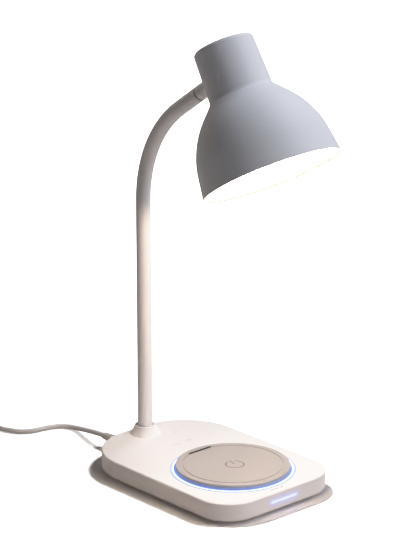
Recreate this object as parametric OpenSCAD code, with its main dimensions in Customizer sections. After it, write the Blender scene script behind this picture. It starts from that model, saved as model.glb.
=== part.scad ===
// Desk lamp with a bell shade on a bent tube, over a slim base with a round charging pad.
// Millimetres, +Z up. The origin is on the desk below the middle of the base, the front is at -Y.

/* [Base] */
// Width of the base, side to side
base_w = 130; // [124:1:150]
// Length of the base, front to back
base_l = 190; // [186:1:220]
// Height of the base body above its feet
base_h = 16; // [15.5:0.5:24]
// Radius of the two front corners, seen from above
front_corner_r = 29; // [20:1:36]
// Radius of the two back corners, seen from above
back_corner_r = 52; // [40:1:54]
// Rounding of the upper edge
top_edge_r = 1.6; // [0.8:0.2:2]
// Rounding of the lower edge
bottom_edge_r = 2.2; // [1:0.2:2.4]
// Side wall of the moulded base shell
side_wall = 2.6; // [2.4:0.1:3.2]
// Top skin of the moulded base shell
top_skin = 2.2; // [1.6:0.1:2.6]
// Thickness of the bottom cover
cover_t = 2; // [1.6:0.2:2.4]
// Height of the rubber feet below the base
foot_h = 2; // [1:0.5:4]
// Diameter of a rubber foot
foot_d = 16; // [10:1:16]

/* [Charging pad] */
// Distance of the pad's edge behind the base's front face
pad_inset = 13.6; // [13:0.2:16]
// Radius of the round pad
pad_r = 48.4; // [40:0.2:49]
// Height of the pad above the base
pad_rise = 4.3; // [3.5:0.1:8]
// Thickness of the pad's top
pad_skin = 1.8; // [1.2:0.1:2.2]
// Width of the light ring round the pad
ring_w = 4; // [2.5:0.1:4.4]
// Radius of the fine groove in the pad's top
groove_r = 42.4; // [34:0.2:43]
// Length of the dark slot in the pad's top
pad_slot_l = 24.5; // [12:0.5:26]
// Width of the dark slot
pad_slot_w = 1.4; // [1:0.1:2]

/* [Front light] */
// Length of the light bar in the front face
bar_l = 28; // [16:1:40]
// Height of the light bar
bar_h = 2.2; // [1.6:0.1:3.5]

/* [Post and arm] */
// Distance of the post's axis in front of the base's back edge
post_inset = 15; // [14:0.5:18]
// Outside diameter of the tube
tube_d = 13; // [11:0.5:13.5]
// Wall of the tube
tube_wall = 1.2; // [1:0.1:1.5]
// Height at which the bend starts
bend_start = 229; // [150:1:320]
// Radius of the bend, at the tube's axis
bend_r = 105; // [60:1:130]
// Angle of the bend
bend_angle = 56.5; // [45:0.5:65]
// Straight length between the bend and the seam
tip_l = 30; // [22:1:60]
// Height of the collar above the base
collar_h = 8.2; // [5:0.2:14]
// Radius of the collar's rim
collar_rim_r = 9.3; // [9.2:0.1:10]
// Radius of the collar's flared foot
collar_foot_r = 14; // [12:0.2:14]
// Depth of the open ring between collar and tube
collar_recess = 2.5; // [1:0.1:4]

/* [Neck and tilt hinge] */
// Distance from the seam to the hinge pin
neck_l = 46; // [44:1:60]
// Gap at the seam between arm and neck
seam_gap = 0.4; // [0.3:0.1:0.8]
// Diameter of the hinge pin
pin_d = 4; // [3:0.5:5]
// Thickness of the neck's flat eye
eye_t = 7; // [5:0.5:8]
// Thickness of a friction washer
washer_t = 0.8; // [0.5:0.1:1.2]
// Thickness of the hinge bracket's sheet
bracket_t = 1.6; // [1:0.1:2]
// How far the shade tilts back from rest, degrees
tilt_back = 18; // [5:1:18]
// How far the shade tilts up from rest, degrees
tilt_up = 22; // [5:1:22]

/* [Shade] */
// Lean of the shade's axis from upright at rest, degrees
shade_lean = 31; // [26:0.5:34]
// Radius of the rim
rim_r = 58.5; // [56:0.5:66]
// Half angle of the skirt, degrees
skirt_angle = 8; // [5:0.5:10]
// Height of the straight skirt
skirt_h = 19; // [14:1:24]
// Radius of the rounded shoulder
shoulder_r = 75; // [68:1:80]
// Slope at which the shoulder runs up to the cap, degrees
shoulder_slope = 43; // [41:0.5:45]
// Radius of the fillet below the cap
cap_fillet_r = 5; // [3:0.5:6]
// Radius of the cap at its foot
cap_foot_r = 26.6; // [26:0.1:29]
// Radius of the cap at its top
cap_top_r = 25.3; // [24.8:0.1:28]
// Height of the whole shade along its axis
shade_h = 113.5; // [112:0.5:125]
// Height of the hinge pin above the rim, along the axis
pin_h = 91.5; // [90.5:0.5:92]
// Rounding of the cap's top edge
cap_edge_r = 3; // [1.5:0.5:3.5]
// Wall of the shade
shade_wall = 1.2; // [1:0.1:2]
// Height of the diffuser above the rim
diffuser_h = 25; // [20:1:27]

/* [Cord] */
// Diameter of the cord
cord_d = 4.5; // [4.5:0.1:4.6]
// Length of the strain relief behind the base
relief_l = 20; // [12:1:20]

/* [Hidden] */
$fn = 72;
hull_fn = 96;

// Clearances
seat_gap = 0.2;       // between moulded pieces that sit in each other
run_gap = 0.05;       // radial, between a shaft and its bore
slide_gap = 0.3;      // between faces that move past each other
lap = 0.01;           // how far a cut runs past a face

// Colours
shell_white = [0.93, 0.91, 0.89];
shade_grey = [0.83, 0.84, 0.87];
pad_taupe = [0.80, 0.76, 0.73];
steel_grey = [0.62, 0.63, 0.65];
board_green = [0.20, 0.42, 0.30];
dark_rubber = [0.16, 0.16, 0.17];
cord_grey = [0.78, 0.77, 0.76];

// Base: levels and places
shell_z = foot_h;                                   // lower rim of the base body
base_top = foot_h + base_h;
skin_z = base_top - top_skin;                       // underside of the top skin
cover_top = foot_h + cover_t;
front_y = -base_l / 2;
back_y = base_l / 2;
foot_recess = 0.8;                                  // depth of a foot's seat in the cover
foot_inset = 15;                                    // front feet, in from the front edge
back_foot_in = [35, 25];                            // feet and screws, in from the side and the back edge
back_screw_in = [23, 33];
front_screw_in = 17;
front_foot = [base_w / 2 - front_corner_r, front_y + foot_inset];
back_foot = [base_w / 2 - back_foot_in[0], back_y - back_foot_in[1]];
front_screw = [base_w / 2 - front_screw_in, front_y + front_screw_in];
back_screw = [base_w / 2 - back_screw_in[0], back_y - back_screw_in[1]];
post_y = back_y - post_inset;
cover_screw_r = 1.5;
cover_screw_l = 8;
screw_head_r = 2.8;
screw_head_h = 0.8;
screw_sunk = 1;                                     // depth of a screw's seat in the cover
boss_r = 3.4;

// Pad: levels and places
pad_c = [0, front_y + pad_inset + pad_r];
pad_top = base_top + pad_rise;
pad_wall = 2;                                       // skirt of the pad cover
ring_in_r = pad_r + 0.4;
ring_out_r = ring_in_r + ring_w;
ring_flange = 3.2;                                  // width of the guide's flange below the skin
ring_flange_t = 1.6;
guide_top = base_top + seat_gap;
guide_foot = skin_z - seat_gap - ring_flange_t;     // underside of the light guide
led_t = 0.25;
ring_board_t = 1.4;
ring_board_z = guide_foot - led_t - ring_board_t - 0.05;
carrier_t = 1.6;
carrier_z = ring_board_z - seat_gap - carrier_t;
carrier_r = ring_out_r + ring_flange;
carrier_ear_r = 60;                                 // circle of the carrier's screws
carrier_ear_angle = 35;
ferrite_t = 0.8;
ferrite_r = 24;
coil_t = 1.3;
coil_r = 22;
coil_in_r = 10;
coil_z = pad_top - pad_skin - seat_gap - coil_t;
ferrite_z = coil_z - 0.1 - ferrite_t;
groove_w = 0.7;
groove_deep = 0.5;
pad_edge_r = 0.8;
slot_from_centre = 41.3;                            // the dark slot, behind the pad's centre
slot_deep = 1.2;
ballast_t = carrier_z - slide_gap - cover_top - seat_gap;
ballast_w = base_w - 26;
ballast_front = front_y + side_wall + 6.4;
ballast_cut = 24;                                   // size of its cut front corners

// Light bar: places
bar_z = foot_h + base_h / 2;
bar_proud = 0.2;

// Control board: places
post_boss_r = 12;
board_w = 68;
board_front = pad_c[1] + carrier_r + 5;             // the board lies between the carrier and the post
board_back = post_y - post_boss_r - 8;
board_l = board_back - board_front;
board_t = 1.6;
board_y = (board_front + board_back) / 2;
ballast_back = board_front - 10;
board_z = skin_z - 3.7 - board_t;
board_hole = [board_w / 2 - 4, board_l / 2 - 4];
board_screw_r = 1.1;
board_screw_l = 4.4;
board_head_r = 2;
board_head_h = 1;
chip_w = 0.3 * board_l;                             // parts on the board's lower face
chip_h = 3;
socket_l = 14;
socket_w = 0.25 * board_l;
socket_h = 2;
buffer_r = 3.2;
buffer_h = 4;
buffer_x = board_hole[0] - board_head_r - buffer_r - 0.8;
touch_places = [[2.5, board_y - 1.5], [18, board_y - 4]];

// Post: levels
tube_r = tube_d / 2;
tube_in_r = tube_r - tube_wall;
collar_top = base_top + collar_h;
collar_bore_r = collar_rim_r - 1;
bush_r = collar_bore_r - run_gap;
bush_flange_r = 11;
bush_flange_t = 1.5;
bush_top = collar_top - collar_recess;
thrust_t = 0.6;
nut_t = 3.2;
foot_pad_t = 0.65;
tube_foot_z = cover_top + foot_pad_t + run_gap;
nut_z = tube_foot_z + 0.2;
thrust_z = nut_z + nut_t + 0.1;
bush_foot = thrust_z + thrust_t + run_gap;
boss_foot = bush_foot + bush_flange_t;              // underside of the post boss
nut_flats_r = 10.8;                                 // half the nut's width over its corners

// Arm: the end of the bend, the seam and the pin, in the YZ plane
bend_end = [post_y - bend_r * (1 - cos(bend_angle)), bend_start + bend_r * sin(bend_angle)];
arm_dir = [-sin(bend_angle), cos(bend_angle)];
seam = bend_end + tip_l * arm_dir;
pin = seam + neck_l * arm_dir;
lead_d = 3.2;

// Neck
spigot_r = tube_in_r - 1;
spigot_l = 15;
end_bush_l = 12;
clip_t = 0.8;
neck_bore_r = 2.4;
stub_l = neck_l - 12;                               // round part of the neck, seam to flat
eye_r = 6.5;
pin_r = pin_d / 2;

// Shade profile, radius against height above the rim
skirt_top = [rim_r - skirt_h * tan(skirt_angle), skirt_h];
shoulder_c = skirt_top - shoulder_r * [cos(skirt_angle), sin(skirt_angle)];
shoulder_end = shoulder_c + shoulder_r * [cos(shoulder_slope), sin(shoulder_slope)];
cap_corner = shoulder_end
    + (shoulder_end[0] - cap_foot_r) / sin(shoulder_slope) * [-sin(shoulder_slope), cos(shoulder_slope)];
cap_taper = atan((cap_foot_r - cap_top_r) / (shade_h - cap_corner[1]));
fillet_run = cap_fillet_r * tan((shoulder_slope - cap_taper) / 2);
fillet_c = cap_corner + fillet_run * [sin(shoulder_slope), -cos(shoulder_slope)]
    + cap_fillet_r * [cos(shoulder_slope), sin(shoulder_slope)];
arc_step = 3.5;

// Inside the shade
liner_gap = 0.3;
liner_t = 1.1;
diffuser_t = 2;
ledge_t = 1.2;
ledge_w = 3.6;
sink_z = diffuser_h + 9;                            // underside of the heat sink
sink_r = 42;
sink_t = 2.5;
fin_h = 6;
fin_t = 1.4;
fin_count = 18;
led_board_r = 32;
led_board_t = 1.4;
led_rings = [[10, 6], [19, 12], [28, 18]];          // radius and count of the LEDs
head_boss_at = 38.5;
head_boss_r = 3.2;
head_boss_h = 30;                                   // cut off by the shell
slot_clear = 0.6;                                   // each side of the neck in the cap's slot
rest_angle = 90 - bend_angle - shade_lean;          // neck below square to the shade's axis, at rest
cap_mid_r = (cap_foot_r + cap_top_r) / 2;
slot_low = slot_reach(rest_angle + tilt_back);
slot_high = slot_reach(tilt_up - rest_angle);
ear_gap = eye_t / 2 + washer_t + run_gap * 2;       // inner face of a bracket ear
ear_r = 8;
bracket_z = 14.6;                                   // underside of the bracket's plate
bracket_half = [15, 7.5];
bracket_hole = 11;
bracket_boss_r = 3.5;
bracket_screw_l = 6;

// Cord: the route of the free stretch, from the base to the coil
cord_r = cord_d / 2;
relief_x = -18;
relief_z = 10;
relief_foot_r = 4.5;
relief_tip_r = 3.1;
relief_grooves = 4;
relief_groove_deep = 0.45;
wall_y_at_relief = back_y - back_corner_r
    + sqrt(pow(back_corner_r, 2) - pow(abs(relief_x) - (base_w / 2 - back_corner_r), 2));
lay_z = cord_r + 0.05;                              // axis of the cord where it lies on the floor
cord_steps = [
    [0, -4, relief_z], [0, 8, relief_z], [0, 20.5, relief_z], [0.7, 29, 9.2], [2.1, 38, 7.7],
    [3.7, 47.5, 5.9], [5, 57, 4.1], [5.5, 66.5, lay_z + 0.45], [2.6, 75, lay_z], [-3.6, 81.4, lay_z],
    [-12, 84.7, lay_z], [-24.8, 86.9, lay_z], [-32.2, 89.9, lay_z], [-38.1, 95.3, lay_z],
    [-41.7, 102.5, lay_z], [-45.2, 113, lay_z], [-48, 122.8, lay_z + 0.1], [-50, 132.8, lay_z + 0.4],
    [-50.4, 143, lay_z + 0.6]
];
cord_route = [for (p = cord_steps) [relief_x, back_y, 0] + p];
cord_end = cord_route[len(cord_route) - 1];
tie_t = 0.6;                                        // the tie's band, which the coil rests on
coil_mid_r = 27;
coil_columns = 2;                                   // turns side by side
coil_layers = 4;                                    // turns on each other
coil_w = coil_columns * cord_d;
coil_h = coil_layers * cord_d;
coil_out_r = coil_mid_r + (coil_columns - 1) / 2 * cord_d;
coil_start_angle = 4;                               // where the cord runs onto the coil
coil_c = [
    cord_end[0] - coil_out_r * cos(coil_start_angle),
    cord_end[1] - coil_out_r * sin(coil_start_angle)
];
tail_angle = 162.5;                                 // where the tail leaves the coil
tail_dir = [-sin(tail_angle), cos(tail_angle)];
tail_start = [coil_c[0] + coil_out_r * cos(tail_angle), coil_c[1] + coil_out_r * sin(tail_angle)];
tail_l = 20;
adapter_relief_l = 20;
adapter_face = tail_start + (tail_l + adapter_relief_l) * tail_dir;
adapter_l = 46;
adapter_w = 30;
adapter_h = 24;
adapter_edge = 4;
blade_l = 17;
blade_w = 6.3;
blade_t = 1.5;
blade_pitch = 12.7;

// ---------------------------------------------------------------- shared shapes

// How far along the cap the neck reaches when it leans by an angle in the slot
function slot_reach(lean) = cap_mid_r * tan(lean) + tube_r / cos(lean) + slot_clear + 0.4;

// The four corner centres of the base outline, each with its radius
function corners() = [
    for (sx = [-1, 1]) [sx * (base_w / 2 - front_corner_r), front_y + front_corner_r, front_corner_r],
    for (sx = [-1, 1]) [sx * (base_w / 2 - back_corner_r), back_y - back_corner_r, back_corner_r]
];

// Points of an arc about a centre, from one angle to another
function arc(c, r, from, to, step) = [
    for (i = [0 : max(1, ceil(abs(to - from) / step))])
        let (a = from + (to - from) * i / max(1, ceil(abs(to - from) / step)))
        c + r * [cos(a), sin(a)]
];

// Half section of a disc with rounded upper and lower edges
module puck_section(r, z0, z1, low_r, high_r) {
    low = low_r > 0 ? arc([r - low_r, z0 + low_r], low_r, -90, 0, 22.5) : [[r, z0]];
    high = high_r > 0 ? arc([r - high_r, z1 - high_r], high_r, 0, 90, 22.5) : [[r, z1]];
    polygon(concat([[0, z0]], low, high, [[0, z1]]));
}

// The base's outline as a solid, set in by an amount, with rounded edges
module slab(z0, z1, inset, low_r, high_r) {
    hull()
        for (c = corners())
            translate([c[0], c[1], 0])
                rotate_extrude($fn = hull_fn)
                    puck_section(c[2] - inset, z0, z1, low_r, high_r);
}

// A flat ring
module ring(r_out, r_in, z0, z1) {
    translate([0, 0, z0])
        difference() {
            cylinder(r = r_out, h = z1 - z0);
            translate([0, 0, -lap])
                cylinder(r = r_in, h = z1 - z0 + 2 * lap);
        }
}

// A drilled post that hangs from one level to another
module boss(at, r, hole_r, z0, z1) {
    translate([at[0], at[1], 0])
        ring(r, hole_r, z0, z1);
}

// A screw along +Z, its head below its shank and a cross cut in the head
module screw(at, shank_r, head_r, head_h, z0, length) {
    arm = head_r * 0.6;
    slit = head_r * 0.2;
    translate([at[0], at[1], z0])
        difference() {
            union() {
                cylinder(r = head_r, h = head_h, $fn = 24);
                translate([0, 0, head_h - lap])
                    cylinder(r = shank_r, h = length - head_h + lap, $fn = 24);
            }
            for (turn = [0, 90])
                rotate([0, 0, turn])
                    translate([-arm, -slit / 2, -lap])
                        cube([2 * arm, slit, head_h / 2 + lap]);
        }
}

// An outline with round ends, lying along X
module stadium(l, w) {
    hull()
        for (s = [-1, 1])
            translate([s * (l - w) / 2, 0])
                circle(d = w, $fn = 24);
}

// Both of a pair, left and right
module both_sides(at) {
    for (s = [-1, 1])
        translate([s * at[0], at[1], 0])
            children();
}

function mirrored(at) = [[at[0], at[1]], [-at[0], at[1]]];
cover_screw_places = concat(mirrored(front_screw), mirrored(back_screw));
foot_places = concat([[0, 0]], mirrored(front_foot), mirrored(back_foot));
ear_offset = carrier_ear_r * [cos(carrier_ear_angle), sin(carrier_ear_angle)];
carrier_places = [for (sx = [-1, 1], sy = [-1, 1]) pad_c + [sx * ear_offset[0], sy * ear_offset[1]]];
board_places = [for (sx = [-1, 1], sy = [-1, 1]) [sx * board_hole[0], board_y + sy * board_hole[1]]];

// ---------------------------------------------------------------- base

// Section of the collar: a cone that flares out into the base's top
module collar_section() {
    steps = 8;
    edge = 0.5;
    flare = [
        for (i = [0 : steps])
            let (k = i / steps)
            [collar_rim_r + (collar_foot_r - collar_rim_r) * pow(1 - k, 1.4),
             base_top - 0.4 + (collar_h - edge + 0.4) * k]
    ];
    polygon(concat([[collar_bore_r, skin_z], [collar_foot_r, skin_z]], flare,
        [[collar_rim_r - edge, collar_top], [collar_bore_r, collar_top]]));
}

module base_shell() {
    color(shell_white)
        difference() {
            union() {
                difference() {
                    slab(shell_z, base_top, 0, bottom_edge_r, top_edge_r);
                    slab(shell_z - 1, skin_z, side_wall, 0, 0);
                }
                translate([0, post_y, 0]) {
                    rotate_extrude()
                        collar_section();
                    ring(post_boss_r, collar_bore_r, boss_foot, skin_z + lap);
                }
                for (at = cover_screw_places)
                    boss(at, boss_r, cover_screw_r, cover_top, skin_z + lap);
                for (at = carrier_places)
                    boss(at, boss_r, board_screw_r, carrier_z + carrier_t, skin_z + lap);
                for (at = board_places)
                    boss(at, 2.6, board_screw_r, board_z + board_t, skin_z + lap);
            }
            translate([0, post_y, boss_foot - lap])
                cylinder(r = collar_bore_r, h = collar_top - boss_foot + 1);
            translate([pad_c[0], pad_c[1], skin_z - 1])
                cylinder(r = ring_out_r + seat_gap, h = top_skin + 2);
            translate([0, front_y + side_wall + 1, bar_z])
                rotate([90, 0, 0])
                    linear_extrude(height = side_wall + 2)
                        stadium(bar_l, bar_h);
            translate([relief_x, back_y - side_wall - 2, relief_z])
                rotate([-90, 0, 0])
                    cylinder(r = relief_foot_r - 0.6, h = side_wall + 4, $fn = 32);
        }
}

module bottom_cover() {
    color(shell_white)
        difference() {
            slab(foot_h, cover_top, side_wall + slide_gap, 0, 0);
            for (at = foot_places)
                translate([at[0], at[1], foot_h - lap])
                    cylinder(d = foot_d + 2 * seat_gap, h = foot_recess + lap);
            for (at = cover_screw_places)
                translate([at[0], at[1], foot_h - lap]) {
                    cylinder(r = cover_screw_r + seat_gap, h = cover_t + 2 * lap, $fn = 24);
                    cylinder(r = screw_head_r + seat_gap, h = screw_sunk + lap, $fn = 24);
                }
        }
}

module rubber_feet() {
    color(dark_rubber)
        for (at = foot_places)
            translate([at[0], at[1], 0])
                rotate_extrude($fn = 40)
                    puck_section(foot_d / 2, 0, foot_h + foot_recess - seat_gap, 0.5, 0);
}

module cover_screws() {
    color(steel_grey)
        for (at = cover_screw_places)
            screw(at, cover_screw_r - 0.1, screw_head_r, screw_head_h, foot_h + screw_sunk - screw_head_h,
                cover_screw_l);
}

module ballast_plate() {
    x = ballast_w / 2;
    in_x = x - ballast_cut;
    in_y = ballast_front + ballast_cut;
    color(steel_grey)
        translate([0, 0, cover_top + seat_gap])
            difference() {
                linear_extrude(height = ballast_t)
                    polygon([
                        [-x, ballast_back], [-x, in_y], [-in_x, ballast_front],
                        [in_x, ballast_front], [x, in_y], [x, ballast_back]]);
                for (at = carrier_places)
                    translate([at[0], at[1], -1])
                        cylinder(r = boss_r + 2, h = ballast_t + 2, $fn = 32);
            }
}

module pad_cover() {
    top = pad_top - groove_deep;
    color(pad_taupe)
        translate([pad_c[0], pad_c[1], 0])
            difference() {
                rotate_extrude($fn = 120)
                    polygon(concat(
                        [[pad_r - pad_wall, carrier_z + carrier_t], [pad_r, carrier_z + carrier_t]],
                        arc([pad_r - pad_edge_r, pad_top - pad_edge_r], pad_edge_r, 0, 90, 30),
                        [[groove_r + groove_w / 2, pad_top], [groove_r + groove_w / 2, top],
                         [groove_r - groove_w / 2, top], [groove_r - groove_w / 2, pad_top],
                         [0, pad_top], [0, pad_top - pad_skin], [pad_r - pad_wall, pad_top - pad_skin]]));
                translate([0, slot_from_centre, pad_top - slot_deep])
                    linear_extrude(height = slot_deep + 1)
                        stadium(pad_slot_l, pad_slot_w);
            }
}

module pad_window() {
    color(dark_rubber)
        translate([pad_c[0], pad_c[1] + slot_from_centre, pad_top - slot_deep])
            linear_extrude(height = slot_deep - 0.15)
                stadium(pad_slot_l - 0.1, pad_slot_w - 0.1);
}

module ring_light_guide() {
    color([0.86, 0.9, 1])
        translate([pad_c[0], pad_c[1], 0])
            rotate_extrude($fn = 120)
                polygon([
                    [ring_in_r, guide_foot], [ring_out_r + ring_flange, guide_foot],
                    [ring_out_r + ring_flange, guide_foot + ring_flange_t],
                    [ring_out_r, guide_foot + ring_flange_t], [ring_out_r, guide_top],
                    [ring_in_r, guide_top]]);
}

module ring_led_board() {
    count = 24;
    color(board_green)
        translate([pad_c[0], pad_c[1], 0])
            union() {
                ring(ring_out_r + ring_flange, ring_in_r, ring_board_z, ring_board_z + ring_board_t);
                for (i = [0 : count - 1])
                    rotate([0, 0, i * 360 / count])
                        translate([ring_in_r + ring_w / 2 - 1, -1, ring_board_z + ring_board_t - lap])
                            cube([2, 2, led_t + lap]);
            }
}

module pad_carrier() {
    color([0.9, 0.9, 0.88])
        difference() {
            union() {
                translate([pad_c[0], pad_c[1], carrier_z])
                    cylinder(r = carrier_r, h = carrier_t);
                for (at = carrier_places)
                    translate([at[0], at[1], carrier_z])
                        cylinder(r = boss_r + 1, h = carrier_t, $fn = 32);
                translate([pad_c[0], pad_c[1], 0])
                    ring(ferrite_r, ferrite_r - 2, carrier_z + carrier_t - lap, ferrite_z);
            }
            for (at = carrier_places)
                translate([at[0], at[1], carrier_z - 1])
                    cylinder(r = board_screw_r + seat_gap, h = carrier_t + 2, $fn = 24);
            translate([pad_c[0], pad_c[1], carrier_z - 1])
                cylinder(r = coil_in_r, h = carrier_t + 2);
        }
}

module carrier_screws() {
    color(steel_grey)
        for (at = carrier_places)
            screw(at, board_screw_r - 0.1, board_head_r, board_head_h, carrier_z - board_head_h,
                board_screw_l);
}

module charging_coil() {
    turns = 8;
    pitch = (coil_r - coil_in_r) / turns;
    color([0.72, 0.45, 0.28])
        translate([pad_c[0], pad_c[1], 0])
            union() {
                ring(coil_r, coil_in_r, coil_z, coil_z + coil_t / 2);
                for (i = [0 : turns - 1])
                    ring(coil_in_r + (i + 0.8) * pitch, coil_in_r + (i + 0.2) * pitch,
                        coil_z + coil_t / 2 - lap, coil_z + coil_t);
            }
}

module coil_ferrite() {
    color(dark_rubber)
        translate([pad_c[0], pad_c[1], ferrite_z])
            cylinder(r = ferrite_r, h = ferrite_t);
}

module control_board() {
    color(board_green)
        difference() {
            union() {
                translate([-board_w / 2, board_y - board_l / 2, board_z])
                    cube([board_w, board_l, board_t]);
                translate([-chip_w - 2, board_y - chip_w + 1, board_z - chip_h])
                    cube([chip_w, chip_w, chip_h + lap]);
                translate([socket_l / 2 + 1, board_y - socket_w - 2, board_z - socket_h])
                    cube([socket_l, socket_w, socket_h + lap]);
                for (s = [-1, 1])
                    translate([s * buffer_x, board_y + 2, board_z - buffer_h])
                        cylinder(r = buffer_r, h = buffer_h + lap, $fn = 24);
            }
            for (at = board_places)
                translate([at[0], at[1], board_z - 1])
                    cylinder(r = board_screw_r + seat_gap, h = board_t + 2, $fn = 24);
        }
}

module board_screws() {
    color(steel_grey)
        for (at = board_places)
            screw(at, board_screw_r - 0.1, board_head_r, board_head_h, board_z - board_head_h,
                board_screw_l);
}

module touch_springs() {
    color(steel_grey)
        for (at = touch_places)
            translate([at[0], at[1], 0])
                ring(3, 2.2, board_z + board_t, skin_z);
}

module light_bar_lens() {
    color([0.9, 0.94, 1])
        translate([0, front_y + side_wall + 0.6, bar_z])
            rotate([90, 0, 0])
                linear_extrude(height = side_wall + 0.6 + bar_proud)
                    stadium(bar_l - 0.2, bar_h - 0.2);
}

module light_bar_board() {
    color(board_green)
        translate([-bar_l / 2, front_y + side_wall + 0.9, cover_top + 0.3])
            cube([bar_l, 1.2, bar_z + bar_h - cover_top]);
}

// ---------------------------------------------------------------- post and arm

module post_bush() {
    color([0.94, 0.94, 0.92])
        translate([0, post_y, 0])
            rotate_extrude()
                polygon([
                    [tube_r + run_gap, bush_foot], [bush_flange_r, bush_foot],
                    [bush_flange_r, boss_foot], [bush_r, boss_foot],
                    [bush_r, bush_top], [tube_r + run_gap, bush_top]]);
}

module post_foot_pad() {
    color([0.94, 0.94, 0.92])
        translate([0, post_y, 0])
            ring(tube_r, tube_in_r - 1.3, cover_top, cover_top + foot_pad_t);
}

module thrust_washer() {
    color(steel_grey)
        translate([0, post_y, 0])
            ring(bush_flange_r - 0.5, tube_r + run_gap, thrust_z, thrust_z + thrust_t);
}

// A round bar or a pipe that follows the arm's axis
module along_arm(r_out, r_in, z_low, tip) {
    translate([0, post_y, z_low])
        rotate([0, 0, 90])
            linear_extrude(height = bend_start - z_low)
                pipe_section(r_out, r_in);
    translate([0, post_y - bend_r, bend_start])
        rotate([90, 0, 90])
            rotate_extrude(angle = bend_angle, $fn = 144)
                translate([bend_r, 0])
                    pipe_section(r_out, r_in);
    translate([0, bend_end[0], bend_end[1]])
        rotate([bend_angle, 0, 0])
            rotate([0, 0, 90])
                linear_extrude(height = tip)
                    pipe_section(r_out, r_in);
}

module pipe_section(r_out, r_in) {
    difference() {
        circle(r = r_out);
        if (r_in > 0)
            circle(r = r_in);
    }
}

module arm_tube() {
    color(shell_white)
        along_arm(tube_r, tube_in_r, tube_foot_z, tip_l);
}

module arm_lead() {
    bend = [
        for (p = arc([post_y - bend_r, bend_start], bend_r, 0, bend_angle, 4))
            [0, p[0], p[1]]
    ];
    tip = bend_end + (tip_l - spigot_l - 3) * arm_dir;
    color(cord_grey)
        sweep(concat([[0, post_y, tube_foot_z + 1]], bend, [[0, tip[0], tip[1]]]), lead_d / 2, 10, [1, 0, 0]);
}

module post_nut() {
    color(steel_grey)
        translate([0, post_y, nut_z])
            difference() {
                cylinder(r = nut_flats_r, h = nut_t, $fn = 6);
                translate([0, 0, -lap])
                    cylinder(r = tube_r + 0.02, h = nut_t + 2 * lap);
            }
}

// Frame of the seam: +Z runs on along the arm's axis
module at_seam() {
    translate([0, seam[0], seam[1]])
        rotate([bend_angle, 0, 0])
            children();
}

module arm_end_bush() {
    color([0.75, 0.62, 0.35])
        at_seam()
            ring(tube_in_r - 0.02, spigot_r + run_gap, -end_bush_l, 0);
}

// ---------------------------------------------------------------- neck

module neck_knuckle() {
    edge = 0.5;
    color(shell_white)
        at_seam()
            difference() {
                union() {
                    rotate_extrude()
                        polygon([
                            [neck_bore_r, -spigot_l], [spigot_r, -spigot_l], [spigot_r, seam_gap],
                            [tube_r - edge, seam_gap], [tube_r, seam_gap + edge],
                            [tube_r, stub_l - edge], [tube_r - edge, stub_l], [neck_bore_r, stub_l]]);
                    translate([-eye_t / 2, 0, 0])
                        rotate([90, 0, 90])
                            linear_extrude(height = eye_t)
                                hull() {
                                    translate([0, neck_l])
                                        circle(r = eye_r, $fn = 48);
                                    translate([-eye_r + 0.6, stub_l - 2])
                                        square([2 * eye_r - 1.2, 1]);
                                }
                }
                translate([-eye_t, 0, neck_l])
                    rotate([0, 90, 0])
                        cylinder(r = pin_r + run_gap, h = 2 * eye_t);
                translate([0, 0, stub_l - 3])
                    cylinder(r = neck_bore_r, h = 6);
                translate([0, 0, -spigot_l + 1.2])
                    ring(spigot_r + 1, spigot_r - 0.6, 0, clip_t + 0.2);
            }
}

module spigot_clip() {
    color(steel_grey)
        at_seam()
            difference() {
                ring(tube_in_r - slide_gap, spigot_r - 0.5, -spigot_l + 1.3, -spigot_l + 1.3 + clip_t);
                translate([-1.5, 0, -spigot_l])
                    cube([3, tube_r, 4]);
            }
}

// ---------------------------------------------------------------- head

// Frame of the shade at the hinge pin: +Z runs up the shade's axis
module at_pin() {
    translate([0, pin[0], pin[1]])
        rotate([-shade_lean, 0, 0])
            children();
}

// Frame of the shade at the middle of its rim
module at_rim() {
    at_pin()
        translate([0, 0, -pin_h])
            children();
}

// The bell's profile up to the fillet below the cap, set in by an amount
function bell(inset) = concat(
    [[rim_r - inset / cos(skirt_angle), 0]],
    arc(shoulder_c, shoulder_r - inset, skirt_angle, shoulder_slope, arc_step),
    arc(fillet_c, cap_fillet_r + inset, 180 + shoulder_slope, 180 + cap_taper, 8)
);

// The whole profile from the rim to the axis at the top
function shade_profile(inset) = concat(
    bell(inset),
    arc([cap_top_r - cap_edge_r, shade_h - cap_edge_r], max(0.6, cap_edge_r - inset), 0, 90, 22.5),
    [[0, shade_h - max(inset, cap_edge_r - max(0.6, cap_edge_r - inset))]]
);

// Radius of the bell's profile at a height, set in by an amount
function bell_r(h, inset) = h <= skirt_h
    ? rim_r - h * tan(skirt_angle) - inset / cos(skirt_angle)
    : shoulder_c[0] + sqrt(pow(shoulder_r - inset, 2) - pow(h - shoulder_c[1], 2));

// The bell's profile between two heights, rising
function bell_band(inset, h0, h1) = concat(
    [[bell_r(h0, inset), h0]],
    [
        for (p = arc(shoulder_c, shoulder_r - inset, skirt_angle, shoulder_slope, arc_step))
            if (p[1] > h0 + 1 && p[1] < h1 - 1) p
    ],
    [[bell_r(h1, inset), h1]]
);

function reversed(list) = [for (i = [len(list) - 1 : -1 : 0]) list[i]];

head_boss_places = [for (i = [0 : 2]) head_boss_at * [sin(60 + 120 * i), cos(60 + 120 * i)]];

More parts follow.
